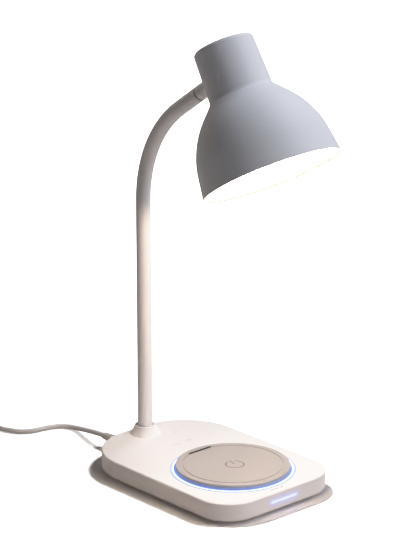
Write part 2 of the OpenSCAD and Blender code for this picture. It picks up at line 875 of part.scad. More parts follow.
module shade_shell() {
    inner_top = shade_h - shade_wall;
    plate_top = pin_h + bracket_z + bracket_t;
    color(shade_grey)
        at_rim()
            difference() {
                union() {
                    rotate_extrude($fn = 120)
                        polygon(concat(shade_profile(0), reversed(shade_profile(shade_wall))));
                    intersection() {
                        for (at = head_boss_places)
                            translate([at[0], at[1], sink_z + sink_t])
                                cylinder(r = head_boss_r, h = head_boss_h, $fn = 32);
                        rotate_extrude($fn = 120)
                            polygon(concat([[0, 0]], shade_profile(shade_wall / 2)));
                    }
                    for (s = [-1, 1])
                        translate([s * bracket_hole, 0, plate_top])
                            cylinder(r = bracket_boss_r, h = inner_top - plate_top + lap, $fn = 32);
                }
                translate([0, 0, pin_h])
                    rotate([-90, 0, 0])
                        linear_extrude(height = rim_r)
                            hull() {
                                translate([0, slot_low - tube_r - slot_clear])
                                    circle(r = tube_r + slot_clear, $fn = 48);
                                translate([0, -slot_high + tube_r + slot_clear])
                                    circle(r = tube_r + slot_clear, $fn = 48);
                            }
                for (at = head_boss_places)
                    translate([at[0], at[1], sink_z + sink_t - 1])
                        cylinder(r = board_screw_r, h = 9, $fn = 24);
                for (s = [-1, 1])
                    translate([s * bracket_hole, 0, plate_top - 1])
                        cylinder(r = board_screw_r, h = inner_top - plate_top + 0.6, $fn = 24);
            }
}

module inner_reflector() {
    outer = shade_wall + liner_gap;
    inner = outer + liner_t;
    low = 1.5;
    color([0.98, 0.97, 0.95])
        at_rim()
            rotate_extrude($fn = 120)
                polygon(concat(
                    bell_band(outer, low, diffuser_h + diffuser_t),
                    [[bell_r(diffuser_h + diffuser_t, inner), diffuser_h + diffuser_t],
                     [bell_r(diffuser_h, inner), diffuser_h],
                     [bell_r(diffuser_h, inner) - ledge_w, diffuser_h],
                     [bell_r(diffuser_h, inner) - ledge_w, diffuser_h - ledge_t],
                     [bell_r(diffuser_h - ledge_t, inner), diffuser_h - ledge_t],
                     [bell_r(low, inner), low]]));
}

module diffuser() {
    color([0.98, 0.98, 0.96])
        at_rim()
            translate([0, 0, diffuser_h])
                cylinder(r = bell_r(diffuser_h + diffuser_t, shade_wall + liner_gap + liner_t) - seat_gap,
                    h = diffuser_t, $fn = 120);
}

module led_board() {
    led = 2.4;
    color([0.95, 0.95, 0.95])
        at_rim()
            difference() {
                union() {
                    translate([0, 0, sink_z - led_board_t])
                        cylinder(r = led_board_r, h = led_board_t);
                    for (row = led_rings, i = [0 : row[1] - 1])
                        rotate([0, 0, i * 360 / row[1]])
                            translate([row[0] - led / 2, -led / 2, sink_z - led_board_t - 0.6])
                                cube([led, led, 0.6 + lap]);
                }
                translate([0, 0, sink_z - led_board_t - 1])
                    cylinder(r = 3, h = led_board_t + 2);
            }
}

module heat_sink() {
    color([0.7, 0.71, 0.73])
        at_rim()
            difference() {
                union() {
                    translate([0, 0, sink_z])
                        cylinder(r = sink_r, h = sink_t);
                    for (i = [0 : fin_count - 1])
                        rotate([0, 0, (i + 0.5) * 360 / fin_count])
                            translate([12, -fin_t / 2, sink_z + sink_t - lap])
                                cube([20, fin_t, fin_h]);
                }
                translate([0, 0, sink_z - 1])
                    cylinder(r = 6, h = sink_t + 2);
                for (at = head_boss_places)
                    translate([at[0], at[1], sink_z - 1])
                        cylinder(r = board_screw_r + seat_gap, h = sink_t + 2, $fn = 24);
            }
}

module head_screws() {
    color(steel_grey)
        at_rim()
            for (at = head_boss_places)
                screw(at, board_screw_r - 0.1, 2.2, 1.2, sink_z - 1.2, 8);
}

module hinge_bracket() {
    color(steel_grey)
        at_pin()
            difference() {
                union() {
                    translate([-bracket_half[0], -bracket_half[1], bracket_z])
                        cube([2 * bracket_half[0], 2 * bracket_half[1], bracket_t]);
                    for (s = [0, 1])
                        mirror([s, 0, 0])
                            translate([ear_gap, 0, 0])
                                rotate([90, 0, 90])
                                    linear_extrude(height = bracket_t)
                                        hull() {
                                            circle(r = ear_r, $fn = 48);
                                            translate([-bracket_half[1], bracket_z])
                                                square([2 * bracket_half[1], bracket_t / 2]);
                                        }
                }
                translate([-ear_gap - bracket_t - 1, 0, 0])
                    rotate([0, 90, 0])
                        cylinder(r = pin_r + 0.02, h = 2 * (ear_gap + bracket_t + 1));
                for (s = [-1, 1])
                    translate([s * bracket_hole, 0, bracket_z - 1])
                        cylinder(r = board_screw_r + seat_gap, h = bracket_t + 2, $fn = 24);
            }
}

module bracket_screws() {
    color(steel_grey)
        at_pin()
            for (s = [-1, 1])
                screw([s * bracket_hole, 0], board_screw_r - 0.1, board_head_r, board_head_h,
                    bracket_z - board_head_h, bracket_screw_l);
}

module hinge_pin() {
    half = ear_gap + bracket_t;
    color(steel_grey)
        at_pin()
            rotate([0, 90, 0]) {
                translate([0, 0, -half - 2.4])
                    cylinder(r = pin_r + 1.6, h = 2.4);
                translate([0, 0, -half - lap])
                    cylinder(r = pin_r, h = 2 * half + 4.2);
            }
}

module hinge_nut() {
    half = ear_gap + bracket_t;
    color(steel_grey)
        at_pin()
            translate([half, 0, 0])
                rotate([0, 90, 0])
                    difference() {
                        cylinder(r = pin_r + 2, h = 3.2, $fn = 6);
                        translate([0, 0, -lap])
                            cylinder(r = pin_r + 0.02, h = 3.2 + 2 * lap);
                    }
}

module hinge_washers() {
    color([0.3, 0.3, 0.32])
        at_pin()
            for (s = [0, 1])
                mirror([s, 0, 0])
                    translate([eye_t / 2 + run_gap, 0, 0])
                        rotate([0, 90, 0])
                            ring(eye_r - 0.5, pin_r + run_gap, 0, washer_t);
}

// ---------------------------------------------------------------- cord

function unit(v) = v / norm(v);

// Direction of a route at one of its points
function heading(route, i) = unit(route[min(i + 1, len(route) - 1)] - route[max(i - 1, 0)]);

// A round tube swept along a route that lies flat, or in the plane square to a given side
module sweep(route, r, sides, side = undef) {
    rings = [
        for (i = [0 : len(route) - 1])
            let (t = heading(route, i), s = is_undef(side) ? unit(cross(t, [0, 0, 1])) : side, u = cross(s, t))
            for (k = [0 : sides - 1])
                route[i] + r * (cos(360 * k / sides) * s + sin(360 * k / sides) * u)
    ];
    n = len(route);
    walls = [
        for (i = [0 : n - 2], k = [0 : sides - 1])
            [i * sides + k, i * sides + (k + 1) % sides, (i + 1) * sides + (k + 1) % sides, (i + 1) * sides + k]
    ];
    first = [for (k = [sides - 1 : -1 : 0]) k];
    last = [for (k = [0 : sides - 1]) (n - 1) * sides + k];
    polyhedron(points = rings, faces = concat(walls, [first, last]), convexity = 6);
}

// Half section of a tapered relief with grooves round it, from its foot to its tip
function relief_side(foot_r, tip_r, z0, z1) = concat(
    [[foot_r, z0]],
    [
        for (i = [0 : relief_grooves - 1], k = [0 : 3])
            let (h = z0 + (z1 - z0) * (0.2 + 0.15 * i) + (k > 1 ? 0.9 : 0),
                 r = foot_r + (tip_r - foot_r) * (h - z0) / (z1 - z0))
            [k == 1 || k == 2 ? r - relief_groove_deep : r, h]
    ],
    [[tip_r, z1]]
);

module cord_relief() {
    flange = 1.6;
    color(cord_grey)
        translate([relief_x, wall_y_at_relief, relief_z])
            rotate([-90, 0, 0])
                difference() {
                    union() {
                        translate([0, 0, -side_wall - 1.4 - flange])
                            cylinder(r = relief_foot_r + 1.2, h = flange, $fn = 40);
                        translate([0, 0, -side_wall - 1.4 - lap])
                            cylinder(r = relief_foot_r - 0.8, h = side_wall + 1.9, $fn = 40);
                        rotate_extrude($fn = 40)
                            polygon(concat([[0, 0.4]],
                                relief_side(relief_foot_r, relief_tip_r, 0.4, relief_l),
                                [[0, relief_l]]));
                    }
                    translate([0, 0, -side_wall - 6])
                        cylinder(r = cord_r + run_gap, h = relief_l + side_wall + 12, $fn = 40);
                }
}

module power_cord() {
    color(cord_grey)
        sweep(cord_route, cord_r, 10);
}

// Section of the coil or of its tie, grown by an amount
module coil_section(grow) {
    round_r = cord_r + grow;
    hull()
        for (sx = [-1, 1], sz = [-1, 1])
            translate([sx * (coil_w / 2 - cord_r), sz * (coil_h / 2 - cord_r)])
                circle(r = round_r, $fn = 16);
}

module at_coil() {
    translate([coil_c[0], coil_c[1], tie_t + coil_h / 2])
        children();
}

module cord_coil() {
    color(cord_grey)
        at_coil()
            rotate_extrude($fn = 48)
                translate([coil_mid_r, 0])
                    coil_section(0);
}

module coil_tie() {
    width_angle = 20;
    color(dark_rubber)
        at_coil()
            rotate([0, 0, 258])
                rotate_extrude(angle = width_angle, $fn = 96)
                    translate([coil_mid_r, 0])
                        difference() {
                            coil_section(tie_t);
                            coil_section(0.02);
                        }
}

module cord_tail() {
    top = tie_t + coil_h - cord_r;
    low = adapter_h / 2;
    fall = top - low;
    heights = [for (k = [0, 0.25, 0.5, 0.75, 1]) top - fall * k * k * (3 - 2 * k)];
    route = [
        for (i = [0 : 4])
            let (p = tail_start + i / 4 * tail_l * tail_dir)
            [p[0], p[1], heights[i]]
    ];
    plug_end = tail_start + (tail_l + 4) * tail_dir;
    color(cord_grey)
        sweep(concat(route, [[plug_end[0], plug_end[1], low]]), cord_r, 10);
}

// Frame of the adapter: +Y runs from its face along the cord
module at_adapter() {
    translate([adapter_face[0], adapter_face[1], 0])
        rotate([0, 0, tail_angle - 180])
            children();
}

// A block of the adapter between two places along it, set in by an amount, with each end's rounding
module adapter_block(y0, y1, inset, low_r, high_r) {
    x = adapter_w / 2 - adapter_edge;
    z = adapter_h / 2 - adapter_edge;
    hull()
        for (sx = [-1, 1], sz = [-1, 1])
            translate([sx * x, y0, adapter_h / 2 + sz * z])
                rotate([-90, 0, 0])
                    rotate_extrude($fn = 32)
                        puck_section(adapter_edge - inset, 0, y1 - y0, low_r, high_r);
}

module adapter_body() {
    joint = 7 - adapter_l;                          // the fine line between its two halves
    color(shell_white)
        at_adapter()
            union() {
                adapter_block(joint + 0.3, 0, 0, 0.2, 1.2);
                adapter_block(-adapter_l, joint - 0.3, 0, 1.2, 0.2);
                adapter_block(joint - 2, joint + 2, 0.6, 0, 0);
            }
}

module adapter_blades() {
    color([0.8, 0.72, 0.5])
        at_adapter()
            for (s = [-1, 1])
                translate([(s * blade_pitch - blade_t) / 2, -adapter_l - blade_l, (adapter_h - blade_w) / 2])
                    cube([blade_t, blade_l, blade_w]);
}

module adapter_relief() {
    color(cord_grey)
        at_adapter()
            translate([0, 0, adapter_h / 2])
                rotate([-90, 0, 0])
                    difference() {
                        rotate_extrude($fn = 40)
                            polygon(concat([[0, 0]],
                                relief_side(relief_foot_r, relief_tip_r, 0, adapter_relief_l),
                                [[0, adapter_relief_l]]));
                        translate([0, 0, adapter_relief_l - 5])
                            cylinder(r = cord_r + run_gap, h = 6, $fn = 40);
                    }
}

base_shell();
bottom_cover();
rubber_feet();
cover_screws();
ballast_plate();
pad_cover();
pad_window();
ring_light_guide();
ring_led_board();
pad_carrier();
carrier_screws();
charging_coil();
coil_ferrite();
control_board();
board_screws();
touch_springs();
light_bar_lens();
light_bar_board();
post_bush();
post_foot_pad();
thrust_washer();
arm_tube();
post_nut();
arm_lead();
arm_end_bush();
neck_knuckle();
spigot_clip();
shade_shell();
inner_reflector();
diffuser();
led_board();
heat_sink();
head_screws();
hinge_bracket();
bracket_screws();
hinge_pin();
hinge_nut();
hinge_washers();
cord_relief();
power_cord();
cord_coil();
coil_tie();
cord_tail();
adapter_body();
adapter_blades();
adapter_relief();
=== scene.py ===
"""Looks of a desk lamp with a bell shade, a bent tube and a slim base with a lit charging pad.

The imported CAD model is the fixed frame. This script dresses each of its nodes in a procedural
material, adds what the solids leave plain (the cord's wound line, the printed signs, the ribs on the
adapter) and sets up the camera, the floor and the light. Lengths are metres unless a name ends in
_mm, or a class says otherwise.
"""

from __future__ import annotations

import logging
import math
from dataclasses import dataclass, field, replace
from enum import Enum
from typing import ClassVar, Iterable, Sequence, Union

import bpy
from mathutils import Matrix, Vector


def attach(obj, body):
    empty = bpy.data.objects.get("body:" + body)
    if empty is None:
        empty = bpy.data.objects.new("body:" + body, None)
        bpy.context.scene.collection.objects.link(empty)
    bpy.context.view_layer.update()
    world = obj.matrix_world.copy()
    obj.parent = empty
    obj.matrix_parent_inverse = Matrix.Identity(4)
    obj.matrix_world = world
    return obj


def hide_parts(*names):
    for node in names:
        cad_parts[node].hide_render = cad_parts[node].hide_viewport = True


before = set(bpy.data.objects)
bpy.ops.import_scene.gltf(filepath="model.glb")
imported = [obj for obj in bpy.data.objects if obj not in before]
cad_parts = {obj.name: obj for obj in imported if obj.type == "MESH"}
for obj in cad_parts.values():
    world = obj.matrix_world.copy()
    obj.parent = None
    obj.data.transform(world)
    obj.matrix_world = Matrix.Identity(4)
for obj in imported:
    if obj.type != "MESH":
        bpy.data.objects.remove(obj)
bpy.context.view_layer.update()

MM = 0.001
LOG = logging.getLogger("lamp")

# Share of the darker patches in a finish at their strongest
PATCH_SHARE = 0.6
COAT_ROUGHNESS = 0.25
# How far light goes into a milky plastic, and how red, green and blue share that
SCATTER_MM = 2.0
SCATTER_SPLIT = (0.8, 0.6, 0.5)

Point2 = tuple[float, float]
Point3 = tuple[float, float, float]
Stops = tuple[tuple[float, str], ...]
Feed = Union[float, Sequence[float], bpy.types.ID, bpy.types.Node, bpy.types.NodeSocket]


class Body(str, Enum):
    """The CAD bodies that pieces ride on."""

    BASE = "base"
    ARM = "arm"
    NECK = "neck"
    HEAD = "head"


class Link(str, Enum):
    """How a light treats the objects that a collection names."""

    ONLY = "INCLUDE"
    ALL_BUT = "EXCLUDE"


# ------------------------------------------------------------------ colours and node trees


def linear(code: str) -> tuple[float, float, float, float]:
    """Turns an sRGB hex code into a linear colour.

    Args:
        code: six hex digits, such as "e8e4e0".

    Returns:
        Linear red, green, blue and an alpha of 1.
    """
    parts = [int(code[i : i + 2], 16) / 255 for i in (0, 2, 4)]
    curve = [c / 12.92 if c <= 0.04045 else ((c + 0.055) / 1.055) ** 2.4 for c in parts]
    return (*curve, 1.0)


class Graph:
    """A node tree, with the one function that adds a node to it."""

    prefix: ClassVar[str] = ""

    def __init__(self, tree: bpy.types.NodeTree) -> None:
        """Holds the tree."""
        self.tree = tree

    def feed(self, node: bpy.types.Node, key: int | str, value: Feed) -> None:
        """Sets a socket's value, or links an output into it.

        Args:
            node: the node whose input is set.
            key: the input's name or number.
            value: a value, an output socket, or a node, whose first usable output is taken.
        """
        if isinstance(value, bpy.types.Node):
            value = next(output for output in value.outputs if output.enabled)
        if isinstance(value, bpy.types.NodeSocket):
            self.tree.links.new(value, node.inputs[key])
        else:
            node.inputs[key].default_value = value

    def add(
        self, kind: str, inputs: dict[int | str, Feed] | None = None, stops: Stops = (), **settings: object
    ) -> bpy.types.Node:
        """Adds a node with its settings and links.

        Args:
            kind: the node's type, without the tree's prefix.
            inputs: socket name or number to what it is fed.
            stops: (position, sRGB hex code) pairs of a colour ramp, in rising order.
            settings: properties of the node itself.

        Returns:
            The new node.
        """
        node = self.tree.nodes.new(self.prefix + kind)
        for key, value in settings.items():
            setattr(node, key, value)
        for key, value in (inputs or {}).items():
            self.feed(node, key, value)
        if stops:
            elements = node.color_ramp.elements
            while len(elements) < len(stops):
                elements.new(0.5)
            for element, (position, code) in zip(elements, stops):
                element.position = position
                element.color = linear(code)
        return node


class ShaderGraph(Graph):
    """A material's node tree, with the point and the normal in the frame's own coordinates."""

    prefix: ClassVar[str] = "ShaderNode"

    def __init__(self, name: str) -> None:
        """Starts a material.

        Args:
            name: the material's name, which says what the real surface is.
        """
        self.material = bpy.data.materials.new(name)
        self.material.use_nodes = True
        super().__init__(self.material.node_tree)
        self.shader = next(n for n in self.tree.nodes if n.type == "BSDF_PRINCIPLED")
        coordinates = self.add("TexCoord").outputs
        self.point, self.normal = coordinates["Object"], coordinates["Normal"]

    def surface(self, values: dict[str, Feed]) -> bpy.types.Material:
        """Feeds the shader's sockets by name, and returns the material."""
        for key, value in values.items():
            self.feed(self.shader, key, value)
        return self.material

    def paint_over(self, where: Feed, code: str) -> bpy.types.Material:
        """Paints another colour over the base colour, and returns the material.

        Args:
            where: 1 where the other colour shows, and 0 elsewhere.
            code: its sRGB hex code.

        Returns:
            The material.
        """
        below = self.shader.inputs["Base Color"].links[0].from_socket
        mixed = self.add("Mix", {0: where, 6: below, 7: linear(code)}, data_type="RGBA")
        return self.surface({"Base Color": mixed})


@dataclass(frozen=True)
class Finish:
    """How one real surface looks.

    Attributes:
        name: name of the material.
        colour: sRGB hex code of the surface.
        shade: sRGB hex code of its darker patches.
        roughness: mean roughness.
        spread: how far the roughness varies either way.
        metallic: 1 for bare metal.
        grain_mm: size of the fine grain.
        grain_deep_mm: height of the fine grain, or 0 for a polished surface.
        blotch_mm: size of the slow colour variation.
        specular: specular level.
        coat: clear coat weight.
        subsurface: subsurface weight.
        stretch: scale of the grain along each axis, for turned and rolled surfaces.
    """

    name: str
    colour: str
    shade: str
    roughness: float
    spread: float = 0.04
    metallic: float = 0.0
    grain_mm: float = 0.5
    grain_deep_mm: float = 0.008
    blotch_mm: float = 35.0
    specular: float = 0.4
    coat: float = 0.0
    subsurface: float = 0.0
    stretch: Point3 = (1.0, 1.0, 1.0)

    def graph(self) -> ShaderGraph:
        """Builds the material.

        Returns:
            The graph, so that a caller can add to it.
        """
        g = ShaderGraph(self.name)
        slow = g.add("TexNoise", {"Vector": g.point, "Scale": 1 / (self.blotch_mm * MM), "Detail": 3.0})
        patches = g.add("Math", {0: slow, 1: PATCH_SHARE}, operation="MULTIPLY")
        colour = g.add("Mix", {0: patches, 6: linear(self.colour), 7: linear(self.shade)}, data_type="RGBA")
        turned = g.add("Mapping", {"Vector": g.point, "Scale": self.stretch})
        fine = g.add("TexNoise", {"Vector": turned, "Scale": 1 / (self.grain_mm * MM), "Detail": 2.0})
        swing = g.add("Math", {0: fine, 1: 0.5}, operation="SUBTRACT")
        rough = g.add("Math", {0: swing, 1: 2 * self.spread, 2: self.roughness}, operation="MULTIPLY_ADD")
        values = {
            "Base Color": colour,
            "Roughness": rough,
            "Metallic": self.metallic,
            "Specular IOR Level": self.specular,
            "Coat Weight": self.coat,
            "Coat Roughness": COAT_ROUGHNESS,
        }
        if self.grain_deep_mm:
            values["Normal"] = g.add("Bump", {"Height": fine, "Distance": self.grain_deep_mm * MM})
        if self.subsurface:
            values["Subsurface Weight"] = self.subsurface
            values["Subsurface Radius"] = SCATTER_SPLIT
            values["Subsurface Scale"] = SCATTER_MM * MM
        g.surface(values)
        return g


# ABS, injection moulded in a fine spark-eroded mould: warm white, a soft even highlight and no gloss
SHELL = Finish("moulded_warm_white_abs", "f6f3f1", "f1eeec", 0.5, grain_mm=0.6, grain_deep_mm=0.006)
# Spun steel, powder coated: cool white, matt, with the coat's faint orange peel
SHADE = Finish(
    "powder_coated_white_steel", "e6e7ea", "e1e2e5", 0.62, grain_mm=0.55, grain_deep_mm=0.012, specular=0.3
)
# Drawn steel tube, wet painted: satin, so the light runs along it in one soft band
ARM = Finish("satin_white_paint", "f3f1f0", "eeecea", 0.42, grain_mm=0.5, grain_deep_mm=0.005)
# Soft-touch lacquer on ABS: taupe, velvety, nearly no highlight
PAD = Finish(
    "soft_touch_taupe_lacquer", "b1aeac", "aba8a5", 0.66, grain_mm=0.45, grain_deep_mm=0.012, specular=0.3
)
# Smoked polycarbonate, polished: near black
WINDOW = Finish("smoked_polycarbonate", "0b0b0c", "070708", 0.45, grain_deep_mm=0.0, specular=0.15)
# ABS with a white pigment, moulded and polished: milky, so it glows evenly where a light stands behind it.
# The bell's reflector is made of it too, and its glow is painted light
MILKY = Finish("white_reflector_abs_painted_glow", "fbf8f2", "f7f3ec", 0.5, grain_deep_mm=0.0)
# Silicone rubber, moulded: dull black with a dry bloom
RUBBER = Finish("moulded_black_rubber", "2b2a2c", "232224", 0.8, grain_mm=0.3, grain_deep_mm=0.02)
# PVC sheath, extruded: light grey, slightly waxy
CORD = Finish("extruded_grey_pvc", "dcd8d5", "d3cfcb", 0.5, grain_mm=0.4, grain_deep_mm=0.006)
# Steel, zinc plated: cool grey with the rolled sheet's long grain
STEEL = Finish("zinc_plated_steel", "a9abb0", "9a9ca1", 0.36, metallic=1.0, grain_mm=0.3, stretch=(1, 1, 0.1))
# Brass, turned: yellow, with the tool's fine rings
BRASS = Finish("turned_brass", "c8a964", "b8984f", 0.3, metallic=1.0, grain_mm=0.3, stretch=(1, 1, 6))
# Copper wire under clear enamel: orange and glossy
COPPER = Finish("enamelled_copper", "b8734a", "a3623c", 0.28, metallic=1.0, coat=0.5, grain_deep_mm=0.0)
# Aluminium, extruded and left bare: pale, a little dull
ALUMINIUM = Finish("bare_extruded_aluminium", "b9bbbe", "adafb3", 0.42, metallic=1.0, grain_mm=0.4)
# Glass-fibre board under green and under white solder mask: smooth, lightly glossy
BOARD = Finish("green_solder_mask", "2f6b47", "285d3e", 0.35, coat=0.4)
WHITE_BOARD = Finish("white_solder_mask", "f0f0ee", "e8e8e6", 0.35, coat=0.4)
# Nylon, moulded without pigment: milky, light goes a little way in
NATURAL = Finish("natural_nylon", "ebe7dd", "e2ddd2", 0.5, subsurface=0.1)
# Ferrite, pressed and fired: charcoal, granular
FERRITE = Finish("pressed_ferrite", "2a2a2d", "222225", 0.6, grain_mm=0.25, grain_deep_mm=0.02)
# Pad-printed inks: thin, matt, with the colour of what lies under them showing through
SIGN_INK = Finish("taupe_sign_ink", "6b5f57", "635850", 0.6, grain_deep_mm=0.0)
FRONT_INK = Finish("warm_grey_ink", "847973", "7c716b", 0.6, grain_deep_mm=0.0)
FAINT_INK = Finish("faint_warm_ink", "cfc5be", "c8beb7", 0.55, grain_deep_mm=0.0)


class FinishStore:
    """Makes the material of each finish once."""

    def __init__(self) -> None:
        """Starts with no material made."""
        self._made: dict[str, bpy.types.Material] = {}

    def plain(self, finish: Finish) -> bpy.types.Material:
        """Returns the material of a finish, made on first use."""
        if finish.name not in self._made:
            self._made[finish.name] = finish.graph().material
        return self._made[finish.name]


# ------------------------------------------------------------------ meshes and Geometry Nodes


def link_object(name: str, data: bpy.types.ID) -> bpy.types.Object:
    """Makes an object of a mesh, curve, light or camera, and puts it in the scene.

    Args:
        name: the object's name.
        data: what it shows.

    Returns:
        The new object, at the world's origin.
    """
    obj = bpy.data.objects.new(name, data)
    bpy.context.scene.collection.objects.link(obj)
    return obj


def new_mesh(
    name: str,
    vertices: Sequence[Sequence[float]],
    faces: Sequence[Sequence[int]],
    edges: Sequence[Sequence[int]] = (),
) -> bpy.types.Object:
    """Makes a mesh object at the world's origin.

    Args:
        name: name of the piece.
        vertices: points in metres.
        faces: corner numbers of each face.
        edges: corner numbers of each loose edge.

    Returns:
        The new object.
    """
    mesh = bpy.data.meshes.new(name)
    mesh.from_pydata([tuple(v) for v in vertices], [tuple(e) for e in edges], [tuple(f) for f in faces])
    mesh.validate()
    return link_object(name, mesh)


class NodeTool(Graph):
    """A Geometry Nodes tree with named inputs, which ends in Realize Instances and Set Material."""

    def __init__(self, name: str) -> None:
        """Starts a tree with a geometry input and output.

        Args:
            name: name of the tree.
        """
        super().__init__(bpy.data.node_groups.new(name, "GeometryNodeTree"))
        for way in ("INPUT", "OUTPUT"):
            self.tree.interface.new_socket("Geometry", in_out=way, socket_type="NodeSocketGeometry")
        self.source, self.drain = self.add("NodeGroupInput"), self.add("NodeGroupOutput")
        self.identifiers: dict[str, str] = {}

    def named_input(self, name: str) -> bpy.types.NodeSocket:
        """Adds a length input.

        Args:
            name: the input's name.

        Returns:
            Its socket inside the tree.
        """
        item = self.tree.interface.new_socket(name, in_out="INPUT", socket_type="NodeSocketFloat")
        self.identifiers[name] = item.identifier
        return self.source.outputs[name]

    def end(self, geometry: Feed, material: bpy.types.Material) -> None:
        """Realizes the geometry, gives it its material and links it to the output.

        Args:
            geometry: what the tree has made.
            material: the piece's material.
        """
        real = self.add("GeometryNodeRealizeInstances", {0: geometry})
        dressed = self.add("GeometryNodeSetMaterial", {"Geometry": real, "Material": material})
        self.feed(self.drain, 0, dressed)

    def apply(self, obj: bpy.types.Object, values: dict[str, float]) -> None:
        """Runs the tree on an object and leaves the result as its plain mesh.

        Args:
            obj: the object, whose mesh is the tree's input.
            values: the tree's inputs by name, in metres.
        """
        modifier = obj.modifiers.new(self.tree.name, "NODES")
        modifier.node_group = self.tree
        for name, value in values.items():
            modifier[self.identifiers[name]] = value
        graph = bpy.context.evaluated_depsgraph_get()
        made = bpy.data.meshes.new_from_object(obj.evaluated_get(graph), depsgraph=graph)
        obj.modifiers.remove(modifier)
        obj.data = made
        made.name = obj.name


def line_tool(material: bpy.types.Material) -> NodeTool:
    """Builds the tree that turns the edges of a mesh into a flat printed line.

    Args:
        material: the ink.

    Returns:
        The tool, with the input "Width".
    """
    tool = NodeTool("printed_line")
    width = tool.named_input("Width")
    sides = [tool.add("ShaderNodeMath", {0: width, 1: k}, operation="MULTIPLY") for k in (-0.5, 0.5)]
    start, end = (tool.add("ShaderNodeCombineXYZ", {0: side}) for side in sides)
    section = tool.add("GeometryNodeCurvePrimitiveLine", {"Start": start, "End": end})
    path = tool.add("GeometryNodeMeshToCurve", {0: tool.source})
    level = tool.add("GeometryNodeSetCurveNormal", {0: path}, mode="Z_UP")
    tool.end(tool.add("GeometryNodeCurveToMesh", {0: level, 1: section}), material)
    return tool


def rib_tool(material: bpy.types.Material) -> NodeTool:
    """Builds the tree that stands a round-ended rib on each point of a mesh.

    Args:
        material: the plastic.

    Returns:
        The tool, with the inputs "Radius" and "Height".
    """
    tool = NodeTool("grip_ribs")
    radius, height = tool.named_input("Radius"), tool.named_input("Height")
    ball = tool.add("GeometryNodeMeshUVSphere", {"Segments": 12, "Rings": 8, "Radius": radius})
    reach = tool.add("ShaderNodeMath", {0: height, 1: 0.5}, operation="MULTIPLY")
    place = tool.add("ShaderNodeSeparateXYZ", {0: tool.add("GeometryNodeInputPosition")})
    half = tool.add("ShaderNodeMath", {0: place.outputs["Z"]}, operation="SIGN")
    shift = tool.add("ShaderNodeMath", {0: half, 1: reach}, operation="MULTIPLY")
    offset = tool.add("ShaderNodeCombineXYZ", {2: shift})
    rib = tool.add("GeometryNodeSetPosition", {0: ball, "Offset": offset})
    tool.end(tool.add("GeometryNodeInstanceOnPoints", {"Points": tool.source, "Instance": rib}), material)
    return tool


def through(points: Sequence[Vector], steps: int) -> list[Vector]:
    """Runs a smooth curve through points.

    Args:
        points: the points it passes through.
        steps: pieces between two points.

    Returns:
        The finer points.
    """
    padded = [points[0] * 2 - points[1], *points, points[-1] * 2 - points[-2]]
    out: list[Vector] = []
    for i in range(1, len(padded) - 2):
        p0, p1, p2, p3 = padded[i - 1 : i + 3]
        bend = 2 * p0 - 5 * p1 + 4 * p2 - p3
        twist = 3 * p1 - p0 - 3 * p2 + p3
        for k in range(steps):
            t = k / steps
            out.append(0.5 * (2 * p1 + (p2 - p0) * t + bend * t * t + twist * t**3))
    out.append(points[-1].copy())
    return out


def ease(k: float) -> float:
    """Returns a smooth step of k from 0 to 1."""
    k = min(1.0, max(0.0, k))
    return k * k * (3 - 2 * k)


def arc_path(centre: Point2, r: float, start: float, end: float, step: float = 6.0) -> tuple[Point2, ...]:
    """Lays points on an arc.

    Args:
        centre: its centre.
        r: its radius.
        start: first angle in degrees.
        end: last angle in degrees.
        step: about how many degrees lie between two points.

    Returns:
        The points, both ends among them.
    """
    count = max(2, round(abs(end - start) / step))
    angles = [math.radians(start + (end - start) * i / count) for i in range(count + 1)]
    return tuple((centre[0] + r * math.cos(a), centre[1] + r * math.sin(a)) for a in angles)


# ------------------------------------------------------------------ the lamp's sub-assemblies


@dataclass
class Assembly:
    """What every sub-assembly has: a body to ride on, and the nodes that each finish dresses.

    Attributes:
        store: the lamp's materials.
    """

    store: FinishStore
    body: ClassVar[Body]
    plain: ClassVar[dict[Finish, tuple[str, ...]]]

    def special(self) -> dict[str, bpy.types.Material]:
        """Returns the nodes whose material is made for them alone."""
        return {}

    def dress(self) -> int:
        """Gives each node of the sub-assembly its material, and leaves its mesh alone.

        Returns:
            How many nodes were dressed.
        """
        looks = {node: self.store.plain(finish) for finish, nodes in self.plain.items() for node in nodes}
        looks.update(self.special())
        for node, material in looks.items():
            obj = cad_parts[node]
            if not obj.material_slots:
                obj.data.materials.append(material)
            for slot in obj.material_slots:
                slot.material = material
        return len(looks)

    def build(self) -> list[bpy.types.Object]:
        """Makes the pieces that the solids leave out, and returns them."""
        return []

    def settle(self, obj: bpy.types.Object, slot: str) -> bpy.types.Object:
        """Makes a piece ride on the sub-assembly's body.

        Args:
            obj: the piece.
            slot: not used.

        Returns:
            The same piece.
        """
        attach(obj, self.body.value)
        return obj


@dataclass(frozen=True)
class PrintedLine:
    """One printed line, in millimetres, seen from above.

    Attributes:
        path: its points.
        width: how wide it is.
        closed: whether it runs back to its first point.
    """

    path: tuple[Point2, ...]
    width: float
    closed: bool = False


